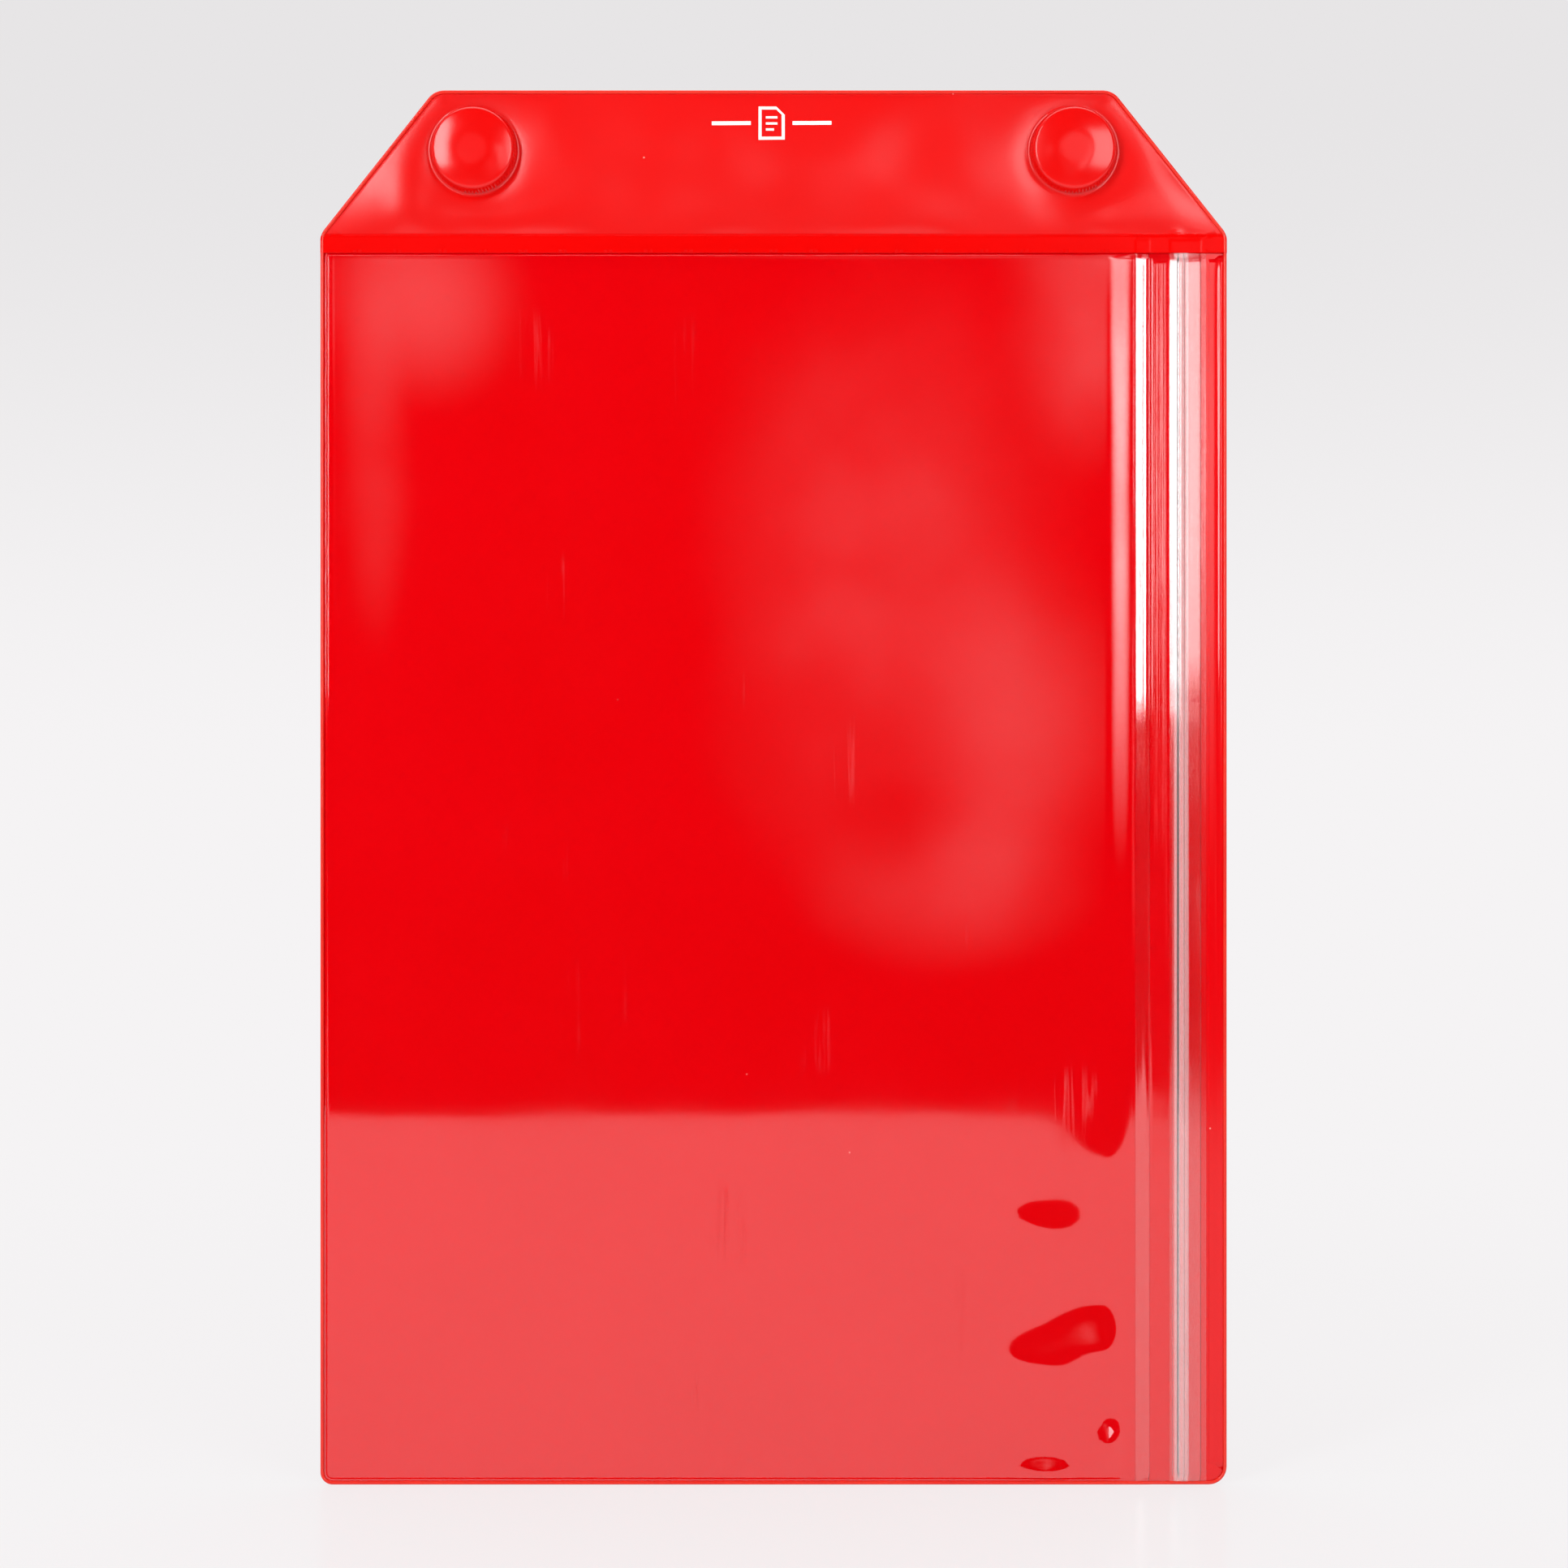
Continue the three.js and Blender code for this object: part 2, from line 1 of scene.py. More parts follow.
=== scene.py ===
# %% [markdown]
# A magnetic document pocket
#
# The real pocket is made of five welded sheets and strips of soft PVC, with two magnets under its
# header. The imported model holds its construction. This lesson gives it its looks: the wavy header
# with its two domes, the clear front film, the weld bead, the milky closing strip with its painted
# sheen, the red sheet, and a studio whose lamps show in all of them.

# %% Load the imported model
import math

import bpy
import numpy as np
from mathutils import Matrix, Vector
from mathutils.geometry import delaunay_2d_cdt


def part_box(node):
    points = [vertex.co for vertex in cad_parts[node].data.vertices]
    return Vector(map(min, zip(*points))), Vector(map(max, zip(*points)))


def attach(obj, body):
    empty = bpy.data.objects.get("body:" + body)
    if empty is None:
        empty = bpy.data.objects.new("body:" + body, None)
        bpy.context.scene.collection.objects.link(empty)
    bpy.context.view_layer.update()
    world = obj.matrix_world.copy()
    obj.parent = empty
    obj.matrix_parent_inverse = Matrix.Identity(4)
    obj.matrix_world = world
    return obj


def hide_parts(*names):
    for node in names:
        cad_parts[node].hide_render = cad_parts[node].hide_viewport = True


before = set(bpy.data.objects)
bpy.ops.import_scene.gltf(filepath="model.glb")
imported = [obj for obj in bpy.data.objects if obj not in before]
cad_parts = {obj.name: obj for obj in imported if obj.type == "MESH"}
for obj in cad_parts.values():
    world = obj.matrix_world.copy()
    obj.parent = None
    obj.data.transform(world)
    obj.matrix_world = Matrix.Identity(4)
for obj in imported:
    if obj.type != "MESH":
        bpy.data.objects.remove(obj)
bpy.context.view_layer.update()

# %% [markdown]
# Sizes
#
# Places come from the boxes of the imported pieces, and what a box can't tell, such as the radius of a
# corner, is written here once. The heights of the sheets are in millimetres in front of the back
# face, because that is how a maker of pockets would think of them: a sheet is a thickness on top of
# another one. The other way would be metres everywhere, but a bead of 0.00025 is hard to read.

# %% Places and thicknesses, in millimetres
MM = 0.001


def box_in_mm(node):
    low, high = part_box(node)
    return np.array(low) / MM, np.array(high) / MM


back_low, back_high = box_in_mm("back_sheet")
header_low, header_high = box_in_mm("header_sheet")
film_low, film_high = box_in_mm("window_film")
front_tape_low, front_tape_high = box_in_mm("zip_front_half")
cap_low, cap_high = box_in_mm("magnet_cap_right")

LEFT, RIGHT = back_low[0], back_high[0]
FOOT, TOP = back_low[2], back_high[2]
HEADER_FOOT = header_low[2]
MAGNET_X = (cap_low[0] + cap_high[0]) / 2
CAP_RADIUS = (cap_high[0] - cap_low[0]) / 2
SEAT = -cap_high[1]
BACK_FRONT = 0.45
TAPE_LEFT = front_tape_low[0]
FILM_RIGHT, FILM_TOP = film_high[0], film_high[2]
FILM_THICKNESS = 0.3
HEADER_THICKNESS = 0.35
PRESSED = 0.2  # thickness of a sheet inside a weld
LAP_FRONT, TUCK_FRONT = 0.84, 0.89  # the film where it is pressed over the strip, and under the header
RIM = 1.3  # width of the rim weld
BEAD, BEAD_HEIGHT = 0.55, 0.25
CRUSH = 1.6  # length over which a piece comes out of a weld

CUT_WIDTH, CUT_HEIGHT = 29.6, 37.3
SHOULDER = TOP - CUT_HEIGHT
CORNERS = [
    (LEFT, FOOT, 3.2),
    (RIGHT, FOOT, 4.6),
    (RIGHT, SHOULDER, 4.8),
    (RIGHT - CUT_WIDTH, TOP, 5.3),
    (LEFT + CUT_WIDTH, TOP, 5.3),
    (LEFT, SHOULDER, 4.8),
]

print("Pocket", round(RIGHT - LEFT, 1), "by", round(TOP - FOOT, 1), "mm, magnets at", round(MAGNET_X, 1))

# %% [markdown]
# The outline as a distance
#
# Rim welds, beads and the swell of a loose sheet all depend on one thing: how far a point is from
# the pocket's edge. So the outline is turned into a distance once, and each sheet asks for it. The
# other way is to offset curves for each feature, which breaks where offsets cross at the corners.

# %% Distance from the edge, and points along it


def corner_frames():
    """Each corner's arc centre, radius and the outward normals of the edges before and after it."""
    points = [np.array(c[:2]) for c in CORNERS]
    count = len(points)
    normals = []
    for i in range(count):
        along = points[(i + 1) % count] - points[i]
        normals.append(np.array([along[1], -along[0]]) / np.linalg.norm(along))
    frames = []
    for i in range(count):
        before, after, radius = normals[i - 1], normals[i], CORNERS[i][2]
        centre = points[i] - (before + after) * radius / (1 + before @ after)
        frames.append((centre, radius, before, after))
    return points, normals, frames


POINTS, NORMALS, CORNER_FRAMES = corner_frames()


def edge_distance(x, z):
    """How far inside the outline a point is, in mm."""
    x, z = np.asarray(x, float), np.asarray(z, float)
    distance = np.full(np.broadcast(x, z).shape, 1e9)
    for point, normal in zip(POINTS, NORMALS):
        distance = np.minimum(distance, (point[0] - x) * normal[0] + (point[1] - z) * normal[1])
    for centre, radius, before, after in CORNER_FRAMES:
        dx, dz = x - centre[0], z - centre[1]
        past_before = dx * -before[1] + dz * before[0] > 0
        short_of_after = dx * -after[1] + dz * after[0] < 0
        on_arc = radius - np.hypot(dx, dz)
        distance = np.where(past_before & short_of_after, np.minimum(distance, on_arc), distance)
    return distance


def outline(inset=0.0, step=1.0):
    """Points along the outline drawn in by inset, anticlockwise seen from the front."""
    path = []
    for i, (centre, radius, before, after) in enumerate(CORNER_FRAMES):
        start = math.atan2(before[1], before[0])
        turn = (math.atan2(after[1], after[0]) - start) % (2 * math.pi)
        steps = max(4, int(radius * turn / 0.35))
        for k in range(steps + 1):
            angle = start + turn * k / steps
            reach = radius - inset
            path.append(centre + reach * np.array([math.cos(angle), math.sin(angle)]))
        following = CORNER_FRAMES[(i + 1) % len(CORNER_FRAMES)]
        end = following[0] + (following[1] - inset) * following[2]
        begin = path[-1]
        pieces = max(1, int(np.linalg.norm(end - begin) / step))
        path += [begin + (end - begin) * k / pieces for k in range(1, pieces)]
    return np.array(path)


print("Outline length in mm:", round(float(np.linalg.norm(np.diff(outline(), axis=0), axis=1).sum()), 1))

# %% [markdown]
# A sheet from its front
#
# All sheets are made the same way: points over the sheet, a height for each, and a back that lies
# one thickness behind the front. Solidify would do it too, but it needs care where a sheet is
# pressed thin inside a weld, and here the thickness may differ from point to point.

# %% Helpers that turn fronts into closed sheets


def smooth_step(t):
    t = np.clip(t, 0, 1)
    return t * t * (3 - 2 * t)


def finished_mesh(name, vertices, faces, smooth=True):
    """A new object with its place in its mesh. The vertices come in millimetres."""
    mesh = bpy.data.meshes.new(name)
    mesh.from_pydata((np.asarray(vertices) * MM).tolist(), [], faces)
    mesh.validate()
    mesh.update()
    mesh.polygons.foreach_set("use_smooth", [smooth] * len(mesh.polygons))
    piece = bpy.data.objects.new(name, mesh)
    bpy.context.scene.collection.objects.link(piece)
    return piece


def closed_sheet(name, x, z, front, thickness, faces, rim):
    """A sheet from its front points and faces, with a back and a wall along the rim of point numbers."""
    count = len(x)
    fronts = np.column_stack([x, -front, z])
    backs = np.column_stack([x, -(front - thickness), z])
    turned = [tuple(count + v for v in reversed(face)) for face in faces]
    following = rim[1:] + rim[:1]
    walls = [(a, a + count, b + count, b) for a, b in zip(rim, following)]
    return finished_mesh(name, np.vstack([fronts, backs]), list(faces) + turned + walls)
def rim_bead(distance):
    """Height of the bead on the rim, by the distance from the edge."""
    return np.where(distance < BEAD, BEAD_HEIGHT * np.sin(np.pi * np.clip(distance / BEAD, 0, 1)), 0)


def grid(wide, high):
    """The faces and the rim of a grid of points that are counted row by row."""
    starts = [j * wide + i for j in range(high - 1) for i in range(wide - 1)]
    rim = list(range(wide)) + [j * wide + wide - 1 for j in range(1, high)]
    rim += [(high - 1) * wide + i for i in range(wide - 2, -1, -1)]
    rim += [j * wide for j in range(high - 2, 0, -1)]
    return [(a, a + 1, a + 1 + wide, a + wide) for a in starts], rim


def closed_line(name, points):
    """A closed line through points in millimetres, for a node tree to work on."""
    count = len(points)
    mesh = bpy.data.meshes.new(name)
    mesh.from_pydata((np.asarray(points) * MM).tolist(), [(i, (i + 1) % count) for i in range(count)], [])
    base = bpy.data.objects.new(name, mesh)
    bpy.context.scene.collection.objects.link(base)
    return base


print("Helpers are ready")

# %% [markdown]
# The section of the closing strip
#
# The front tape isn't flat. It climbs under the film's edge, drops to a level stretch, then rises
# over the interlocking profile like a low roof and falls towards the mouth. These slopes are what
# shows: each mirrors one of the lamps, so the strip is drawn in white and pink bands. A flat tape
# with a striped colour would give the same bands in the photo, but they would not move.

# %% Front of the front tape, in mm
PROFILE_X = RIGHT - 11.9
TAPE_RIGHT = front_tape_high[0]
TAPE_THICKNESS = 0.25
TAPE_SHAPE = [
    # distance from the pocket's right side, front
    (23.7, 0.72), (22.2, 1.28), (20.4, 1.92), (19.4, 1.62), (18.0, 1.56), (15.9, 1.5), (15.4, 1.54),
    (13.6, 2.2), (11.8, 2.82), (11.3, 2.88), (10.9, 2.85), (9.0, 2.47), (7.4, 2.15), (6.9, 2.07),
]


def soft_curve(xs, knots):
    """A smooth curve through knots of rising x, without overshoot."""
    kx, ky = np.array(knots, float).T
    slopes = np.diff(ky) / np.diff(kx)
    before, after = slopes[:-1] + 1e-12, slopes[1:] + 1e-12
    inner = np.where(slopes[:-1] * slopes[1:] > 0, 2 / (1 / before + 1 / after), 0)
    tangents = np.concatenate([[slopes[0]], inner, [slopes[-1]]])
    k = np.clip(np.searchsorted(kx, xs, side="right") - 1, 0, len(kx) - 2)
    width = kx[k + 1] - kx[k]
    t = np.clip((xs - kx[k]) / width, 0, 1)
    start = (1 + 2 * t) * (1 - t) ** 2 * ky[k] + t * (1 - t) ** 2 * width * tangents[k]
    return start + t * t * (3 - 2 * t) * ky[k + 1] + t * t * (t - 1) * width * tangents[k + 1]


def tape_front(x):
    """Front of the front tape where it is free, without its grip ribs."""
    return soft_curve(np.asarray(x, float), [(RIGHT - d, front) for d, front in TAPE_SHAPE])


print("Tape fronts in mm:", [round(float(tape_front(RIGHT - d)), 2) for d in (23, 18, 14, 11.5, 8)])

# %% [markdown]
# The clear film
#
# The real film is calendered PVC, welded flat along the left side and the foot, tucked under the
# header, and lifted at the right by the closing strip. Its mirror image of the table is what
# sells it, and a mirror shows slopes of a thousandth. So the film is almost flat in its middle and
# has a few buckles near the strip, where real film is pushed sideways. Cloth simulation would give
# folds, but not the control over such small slopes. A grid whose rows follow the rounded corner
# does, with lines close together where the film leaves a weld.

# %% Heights of the film
SLACK = 0.42
LEAVING = 0.9
BUCKLES = [
    # x and z of the middle, height, spread in x, spread in z, turn in degrees
    (RIGHT - 43.0, FOOT + 63.4, 0.5, 8.0, 5.5, 14),
    (RIGHT - 51.0, FOOT + 67.5, 0.14, 3.5, 2.6, -20),
    (RIGHT - 39.0, FOOT + 27.0, 1.66, 11.0, 10.0, 34),
    (RIGHT - 53.0, FOOT + 29.5, 0.5, 6.0, 5.0, -12),
    (RIGHT - 31.0, FOOT + 35.0, 0.5, 4.5, 5.0, 20),
    (RIGHT - 41.0, FOOT + 20.0, 0.45, 4.0, 4.5, 0),
    (RIGHT - 29.3, FOOT + 9.8, 2.35, 4.6, 4.0, 24),
    (RIGHT - 46.5, FOOT + 3.0, 1.1, 6.0, 2.3, 0),
    (RIGHT - 25.0, FOOT + 82.5, 0.9, 7.5, 11.0, 0),
]


def strip_freedom(z):
    """0 where the strip is pressed flat in the welds at its ends, 1 where it has its whole height."""
    over_foot = (z - FOOT - RIM) / CRUSH
    under_header = (HEADER_FOOT - z) / CRUSH
    return np.clip(np.minimum(over_foot, under_header), 0, 1)


def ripple(x, z):
    """The small waves that no real film is without, in mm."""
    slow = np.sin(x / 31 + 0.6 * np.sin(z / 47)) * np.sin(z / 39 + 1.1)
    middle = np.sin(x / 9.5 + z / 23 + 1.7) * np.sin(z / 15 - x / 41)
    quick = np.sin(x / 4.1 - z / 13 + 0.4) * np.sin(z / 7.7 + x / 19 + 2.0)
    return 0.035 * slow + 0.006 * middle + 0.0016 * quick


def buckles(x, z):
    total = np.zeros(np.broadcast(x, z).shape)
    for middle_x, middle_z, height, spread_x, spread_z, turn in BUCKLES:
        c, s = math.cos(math.radians(turn)), math.sin(math.radians(turn))
        along = ((x - middle_x) * c + (z - middle_z) * s) / spread_x
        across = (-(x - middle_x) * s + (z - middle_z) * c) / spread_z
        total = total + height * np.exp(-(along**2 + across**2) / 2)
    return total


def film_front(x, z):
    """Front of the film in mm, with its bead and welds."""
    near_edge = np.minimum(x - LEFT, z - FOOT)
    near_edge = np.where((x < LEFT + 4) & (z < FOOT + 4), edge_distance(x, z), near_edge)
    near_header = HEADER_FOOT - z
    off_weld = smooth_step((near_edge - RIM) / LEAVING) * smooth_step(near_header / LEAVING)
    lift = smooth_step((x - (TAPE_LEFT - 8.0)) / 7.6)
    along_strip = strip_freedom(z)
    pressed_here = SEAT + PRESSED + (LAP_FRONT - SEAT - PRESSED) * lift
    slack = SEAT + FILM_THICKNESS + SLACK + ripple(x, z) + buckles(x, z)
    loose = pressed_here + (slack - pressed_here) * off_weld
    on_tape = tape_front(np.maximum(x, TAPE_LEFT)) + 0.05 + FILM_THICKNESS
    over_tape = pressed_here + (on_tape - pressed_here) * along_strip
    return loose * (1 - lift) + over_tape * lift + rim_bead(near_edge)


def film_thickness(x, z):
    near_edge = np.minimum(x - LEFT, z - FOOT)
    free = smooth_step((near_edge - RIM) / CRUSH) * smooth_step((HEADER_FOOT - z) / CRUSH)
    thin = np.where(x > TAPE_LEFT, 0.08, PRESSED - 0.02)
    return thin + (FILM_THICKNESS - thin) * free + rim_bead(near_edge)


def graded(low, near_low, high, near_high, step):
    """Values from low to high, at given distances from both ends and evenly between."""
    first = [low] + [low + d for d in near_low]
    last = [high - d for d in reversed(near_high)] + [high]
    count = max(2, int(round((last[0] - first[-1]) / step)))
    return np.array(first + list(np.linspace(first[-1], last[0], count + 1)[1:-1]) + last)


# %% The film itself


def make_film():
    weld = [0.12, 0.28, 0.42, 0.55, 0.9, 1.3, 1.45, 1.6, 1.75, 1.9, 2.05, 2.2, 2.8, 3.8, 5.0, 6.4]
    lap = FILM_RIGHT - TAPE_LEFT
    to_strip = [0.25 * k for k in range(1, 14)] + [lap] + [lap + 0.3 * k for k in range(1, 30)]
    columns = graded(LEFT, weld, FILM_RIGHT, to_strip, 2.1)
    tuck = FILM_TOP - HEADER_FOOT
    to_header = [tuck * 0.5, tuck] + [tuck + 0.15 * k for k in range(1, 12)] + [tuck + d for d in weld[11:]]
    rows = graded(FOOT, weld, FILM_TOP, to_header, 1.9)
    share = (columns - LEFT) / (FILM_RIGHT - LEFT)
    radius = CORNERS[0][2]
    sink = np.clip(radius - (rows - FOOT), 0, radius)
    starts = LEFT + radius - np.sqrt(radius**2 - sink**2)
    x = (starts[:, None] + share[None, :] * (FILM_RIGHT - starts[:, None])).ravel()
    z = np.repeat(rows, len(columns))
    faces, rim = grid(len(columns), len(rows))
    return closed_sheet("clear_film", x, z, film_front(x, z), film_thickness(x, z), faces, rim)


film = make_film()
print("Film:", len(film.data.vertices), "points, front", round(-film.data.vertices[0].co.y / MM, 2), "mm")

# %% [markdown]
# The header
#
# The header is a red sheet welded round its rim and along a wide seam, and drawn over each magnet
# as a dome with a ring weld round it. Between the welds it swells a little, and these slopes catch
# the side lamps. A grid would need very small squares for the steep domes, so the points are
# strewn by need instead: rings round the magnets, lines along the rim and the seam, and a coarse
# field between, all joined by a Delaunay triangulation that keeps the outline as its edge.

# %% Heights of the header
DOME_FRONT = 6.0
DOME_FLAT = 4.6
DOME_SLOPE = 0.124
DOME_CURL = 0.014
SHOULDER_FROM = CAP_RADIUS - 0.3
SHOULDER_POWER = 2.6
DOME_WALL = CAP_RADIUS + 0.75
RING_TO = DOME_WALL + 0.95
SEAM_TOP = HEADER_FOOT + 5.0
SWELL = 1.5
SWELL_REACH = 7.0
DENTS = [
    # x and z of the middle, height, spread in x, spread in z
    (-94.5, -12.0, 0.95, 3.5, 8.0), (-79.0, -16.5, 1.0, 4.5, 4.5), (-57.5, 8.0, 0.6, 4.0, 7.0),
    (-36.0, -9.0, -0.35, 9.0, 7.0), (20.0, -6.0, 0.4, 8.0, 6.0), (46.0, 4.0, 0.45, 6.0, 7.0),
    (66.0, -8.0, 0.7, 4.5, 7.0), (82.0, -17.0, 1.0, 4.0, 4.5), (89.0, 11.5, 0.8, 3.0, 3.0),
    (105.0, -14.0, 0.5, 5.0, 5.0),
]


def saturating(t, reach):
    return 1 - np.exp(-np.clip(t, 0, None) / reach)


def dome_front(radius, angle):
    """Front of a dome at a distance from its middle: a flat, a cone, a round shoulder and a wall."""
    past_flat = np.logaddexp(0, (radius - DOME_FLAT) / 0.45) * 0.45
    cone = DOME_FRONT - DOME_SLOPE * past_flat - DOME_CURL * past_flat**2
    cone = cone + 0.05 * np.cos(2 * angle + 0.7) * np.clip(radius / 10, 0, 1) ** 2
    shoulder = np.clip((radius - SHOULDER_FROM) / (DOME_WALL - SHOULDER_FROM), 0, 1)
    floor = SEAT + PRESSED
    return floor + (cone - floor) * (1 - shoulder**SHOULDER_POWER) ** (1 / SHOULDER_POWER)


def strip_under_seam(x, z):
    """The strip's layers stand out a little through the seam, and one bubble is left over them."""
    layers = 0.0
    for begin, end, height in ((TAPE_LEFT, FILM_RIGHT, 0.07), (RIGHT - 14.8, RIGHT - 6.9, 0.11)):
        layers = layers + height * (smooth_step((x - begin + 0.2) / 0.5) - smooth_step((x - end) / 0.5))
    layers = layers * smooth_step((FILM_TOP - 0.4 - z) / 0.5)
    bubble = 0.3 * np.exp(-(((x - RIGHT + 13.1) / 1.6) ** 2) - ((z - SEAM_TOP - 0.4) / 0.7) ** 2)
    return layers + bubble


def header_front(x, z):
    """Front of the header sheet in mm."""
    distance = edge_distance(x, z)
    over_seam = z - SEAM_TOP
    swell = saturating(distance - RIM, SWELL_REACH) * saturating(over_seam, SWELL_REACH * 0.8)
    radii = [np.hypot(x - side * MAGNET_X, z) for side in (-1, 1)]
    angles = [np.arctan2(z, x - side * MAGNET_X) for side in (-1, 1)]
    for radius in radii:
        swell = swell * saturating(radius - RING_TO, SWELL_REACH * 0.7)
    waves = 1 + 0.3 * np.sin(x / 15.0 + 0.8 + z / 30) + 0.22 * np.sin(x / 7.7 - z / 7.0)
    waves = waves + 0.16 * np.sin(x / 5.1 + z / 6.3 + 1.3) * np.sin(x / 23.0 + 2.0)
    for middle_x, middle_z, height, spread_x, spread_z in DENTS:
        off = ((x - middle_x) / spread_x) ** 2 + ((z - middle_z) / spread_z) ** 2
        waves = waves + height / SWELL * np.exp(-off / 2)
    step = smooth_step((z - FILM_TOP - 0.3) / 0.6)
    seam = (TUCK_FRONT + PRESSED) * (1 - step) + (SEAT + PRESSED) * step
    front = seam + SWELL * swell * waves + rim_bead(distance) + strip_under_seam(x, z)
    for radius, angle in zip(radii, angles):
        front = np.where(radius < DOME_WALL, dome_front(radius, angle), front)
    return front


# %% The header itself


def header_points():
    """Points strewn over the header where its shape needs them, without those on its edge."""
    strewn = []
    for inset in (0.14, 0.27, 0.41, 0.55, 0.9, 1.3, 1.7, 2.2, 2.9, 3.8):
        ring = outline(inset, 1.4)
        strewn.append(ring[ring[:, 1] > HEADER_FOOT + 0.1])
    for height in (0.3, 1.3, 2.4, 3.5, 4.0, 4.3, 4.6, 4.9, 5.1, 5.4, 5.9, 6.6, 7.6, 9.0):
        xs = np.arange(LEFT + 4.4, RIGHT - 4.4, 1.3)
        strewn.append(np.column_stack([xs, np.full(len(xs), HEADER_FOOT + height)]))
    radii = list(np.arange(0.7, 9.5, 0.7)) + list(np.arange(9.7, DOME_WALL + 0.02, 0.1))
    radii += [DOME_WALL + 0.06, DOME_WALL + 0.3, RING_TO, RING_TO + 0.3, RING_TO + 0.7, RING_TO + 1.2]
    for side in (-1, 1):
        strewn.append(np.array([[side * MAGNET_X, 0.0]]))
        for k, radius in enumerate(radii):
            count = max(10, int(2 * math.pi * radius / 0.9))
            turn = np.linspace(0, 2 * math.pi, count, endpoint=False) + 0.5 * k
            ring = np.column_stack([side * MAGNET_X + radius * np.cos(turn), radius * np.sin(turn)])
            strewn.append(ring[edge_distance(ring[:, 0], ring[:, 1]) > 4.0])
    pitch = 1.5
    for j, z in enumerate(np.arange(HEADER_FOOT + 10.2, TOP - 4.2, pitch * 0.87)):
        xs = np.arange(LEFT + 4.4 + (j % 2) * pitch / 2, RIGHT - 4.4, pitch)
        row = np.column_stack([xs, np.full(len(xs), z)])
        clear = edge_distance(row[:, 0], row[:, 1]) > 4.4
        for side in (-1, 1):
            clear &= np.hypot(row[:, 0] - side * MAGNET_X, row[:, 1]) > RING_TO + 1.8
        strewn.append(row[clear])
    fine_x, fine_z = np.meshgrid(np.arange(-17.0, 16.5, 0.6), np.arange(TOP - 14.5, TOP - 4.0, 0.6))
    strewn.append(np.column_stack([fine_x.ravel(), fine_z.ravel()]))
    fine_x, fine_z = np.meshgrid(np.arange(TAPE_LEFT - 1.0, RIGHT - 5.5, 0.25), np.arange(0.2, 6.6, 0.45))
    strewn.append(np.column_stack([fine_x.ravel(), HEADER_FOOT + fine_z.ravel() + 0.02]))
    inside = np.vstack(strewn)
    return inside[edge_distance(inside[:, 0], inside[:, 1]) > 0.1]


def header_edge():
    """The header's edge: the pocket's outline above the seam, closed by the seam's lower line."""
    path = outline(0.0, 1.2)
    path = path[path[:, 1] > HEADER_FOOT + 0.15]
    turn = int(np.argmax(np.linalg.norm(np.roll(path, -1, axis=0) - path, axis=1))) + 1
    path = np.roll(path, -turn, axis=0)
    xs = np.linspace(LEFT, RIGHT, 160)
    return np.vstack([path, np.column_stack([xs, np.full(len(xs), HEADER_FOOT)])])


def make_header():
    edge = header_edge()
    count = len(edge)
    points = np.vstack([edge, header_points()])
    links = [(i, (i + 1) % count) for i in range(count)]
    made = delaunay_2d_cdt([Vector(p) for p in points], links, [list(range(count))], 1, 1e-5)
    flat = np.array([tuple(v) for v in made[0]])
    faces = [tuple(face) for face in made[2]]
    first_seen = {original: i for i, originals in enumerate(made[3]) for original in originals}
    rim = [first_seen[i] for i in range(count)]
    x, z = flat[:, 0], flat[:, 1]
    front = header_front(x, z)
    welded = (edge_distance(x, z) < RIM) | (z < SEAM_TOP)
    thickness = np.where(welded, PRESSED - 0.02, HEADER_THICKNESS - 0.03)
    thickness = thickness + (edge_distance(x, z) < BEAD) * (front - SEAT - PRESSED) * (z > SEAM_TOP)
    return closed_sheet("red_header", x, z, front, thickness, faces, rim)


header = make_header()
print("Header:", len(header.data.vertices), "points")

# %% [markdown]
# The weld bead
#
# A welding bar squeezes soft PVC out along the rim, and it sets as a thin round bead right round
# the pocket. It follows a path, so Geometry Nodes make it: a curve along the outline, a small
# round profile, and Curve to Mesh. A bevelled curve object would look the same, but the tree
# keeps the bead's size as a named input.

# %% Helpers for node trees


def feed(tree, node, inputs):
    """Gives each named input of a node its value, or a link from a socket."""
    for name, value in inputs.items():
        if isinstance(value, bpy.types.NodeSocket):
            tree.links.new(value, node.inputs[name])
        else:
            node.inputs[name].default_value = value


def added(tree, kind, inputs, **settings):
    """A new node with its settings and inputs."""
    node = tree.nodes.new(kind)
    for name, value in settings.items():
        setattr(node, name, value)
    feed(tree, node, inputs)
    return node


def maths(tree, kind, a, b=0.0, clamp=False):
    return added(tree, "ShaderNodeMath", {0: a, 1: b}, operation=kind, use_clamp=clamp).outputs[0]


def noise(tree, vector, scale, detail, roughness=0.5):
    inputs = {"Vector": vector, "Scale": scale, "Detail": detail, "Roughness": roughness}
    return added(tree, "ShaderNodeTexNoise", inputs).outputs["Fac"]


def split(tree, vector):
    """The X, Y and Z of a vector."""
    return added(tree, "ShaderNodeSeparateXYZ", {0: vector}).outputs


def new_tree(name, inputs):
    """A tree that takes a base, a material and named sizes, and gives one piece."""
    tree = bpy.data.node_groups.new(name, "GeometryNodeTree")
    for label, kind in [("Geometry", "Geometry"), *inputs, ("Material", "Material")]:
        tree.interface.new_socket(label, in_out="INPUT", socket_type="NodeSocket" + kind)
    tree.interface.new_socket("Geometry", in_out="OUTPUT", socket_type="NodeSocketGeometry")
    return tree, tree.nodes.new("NodeGroupInput").outputs


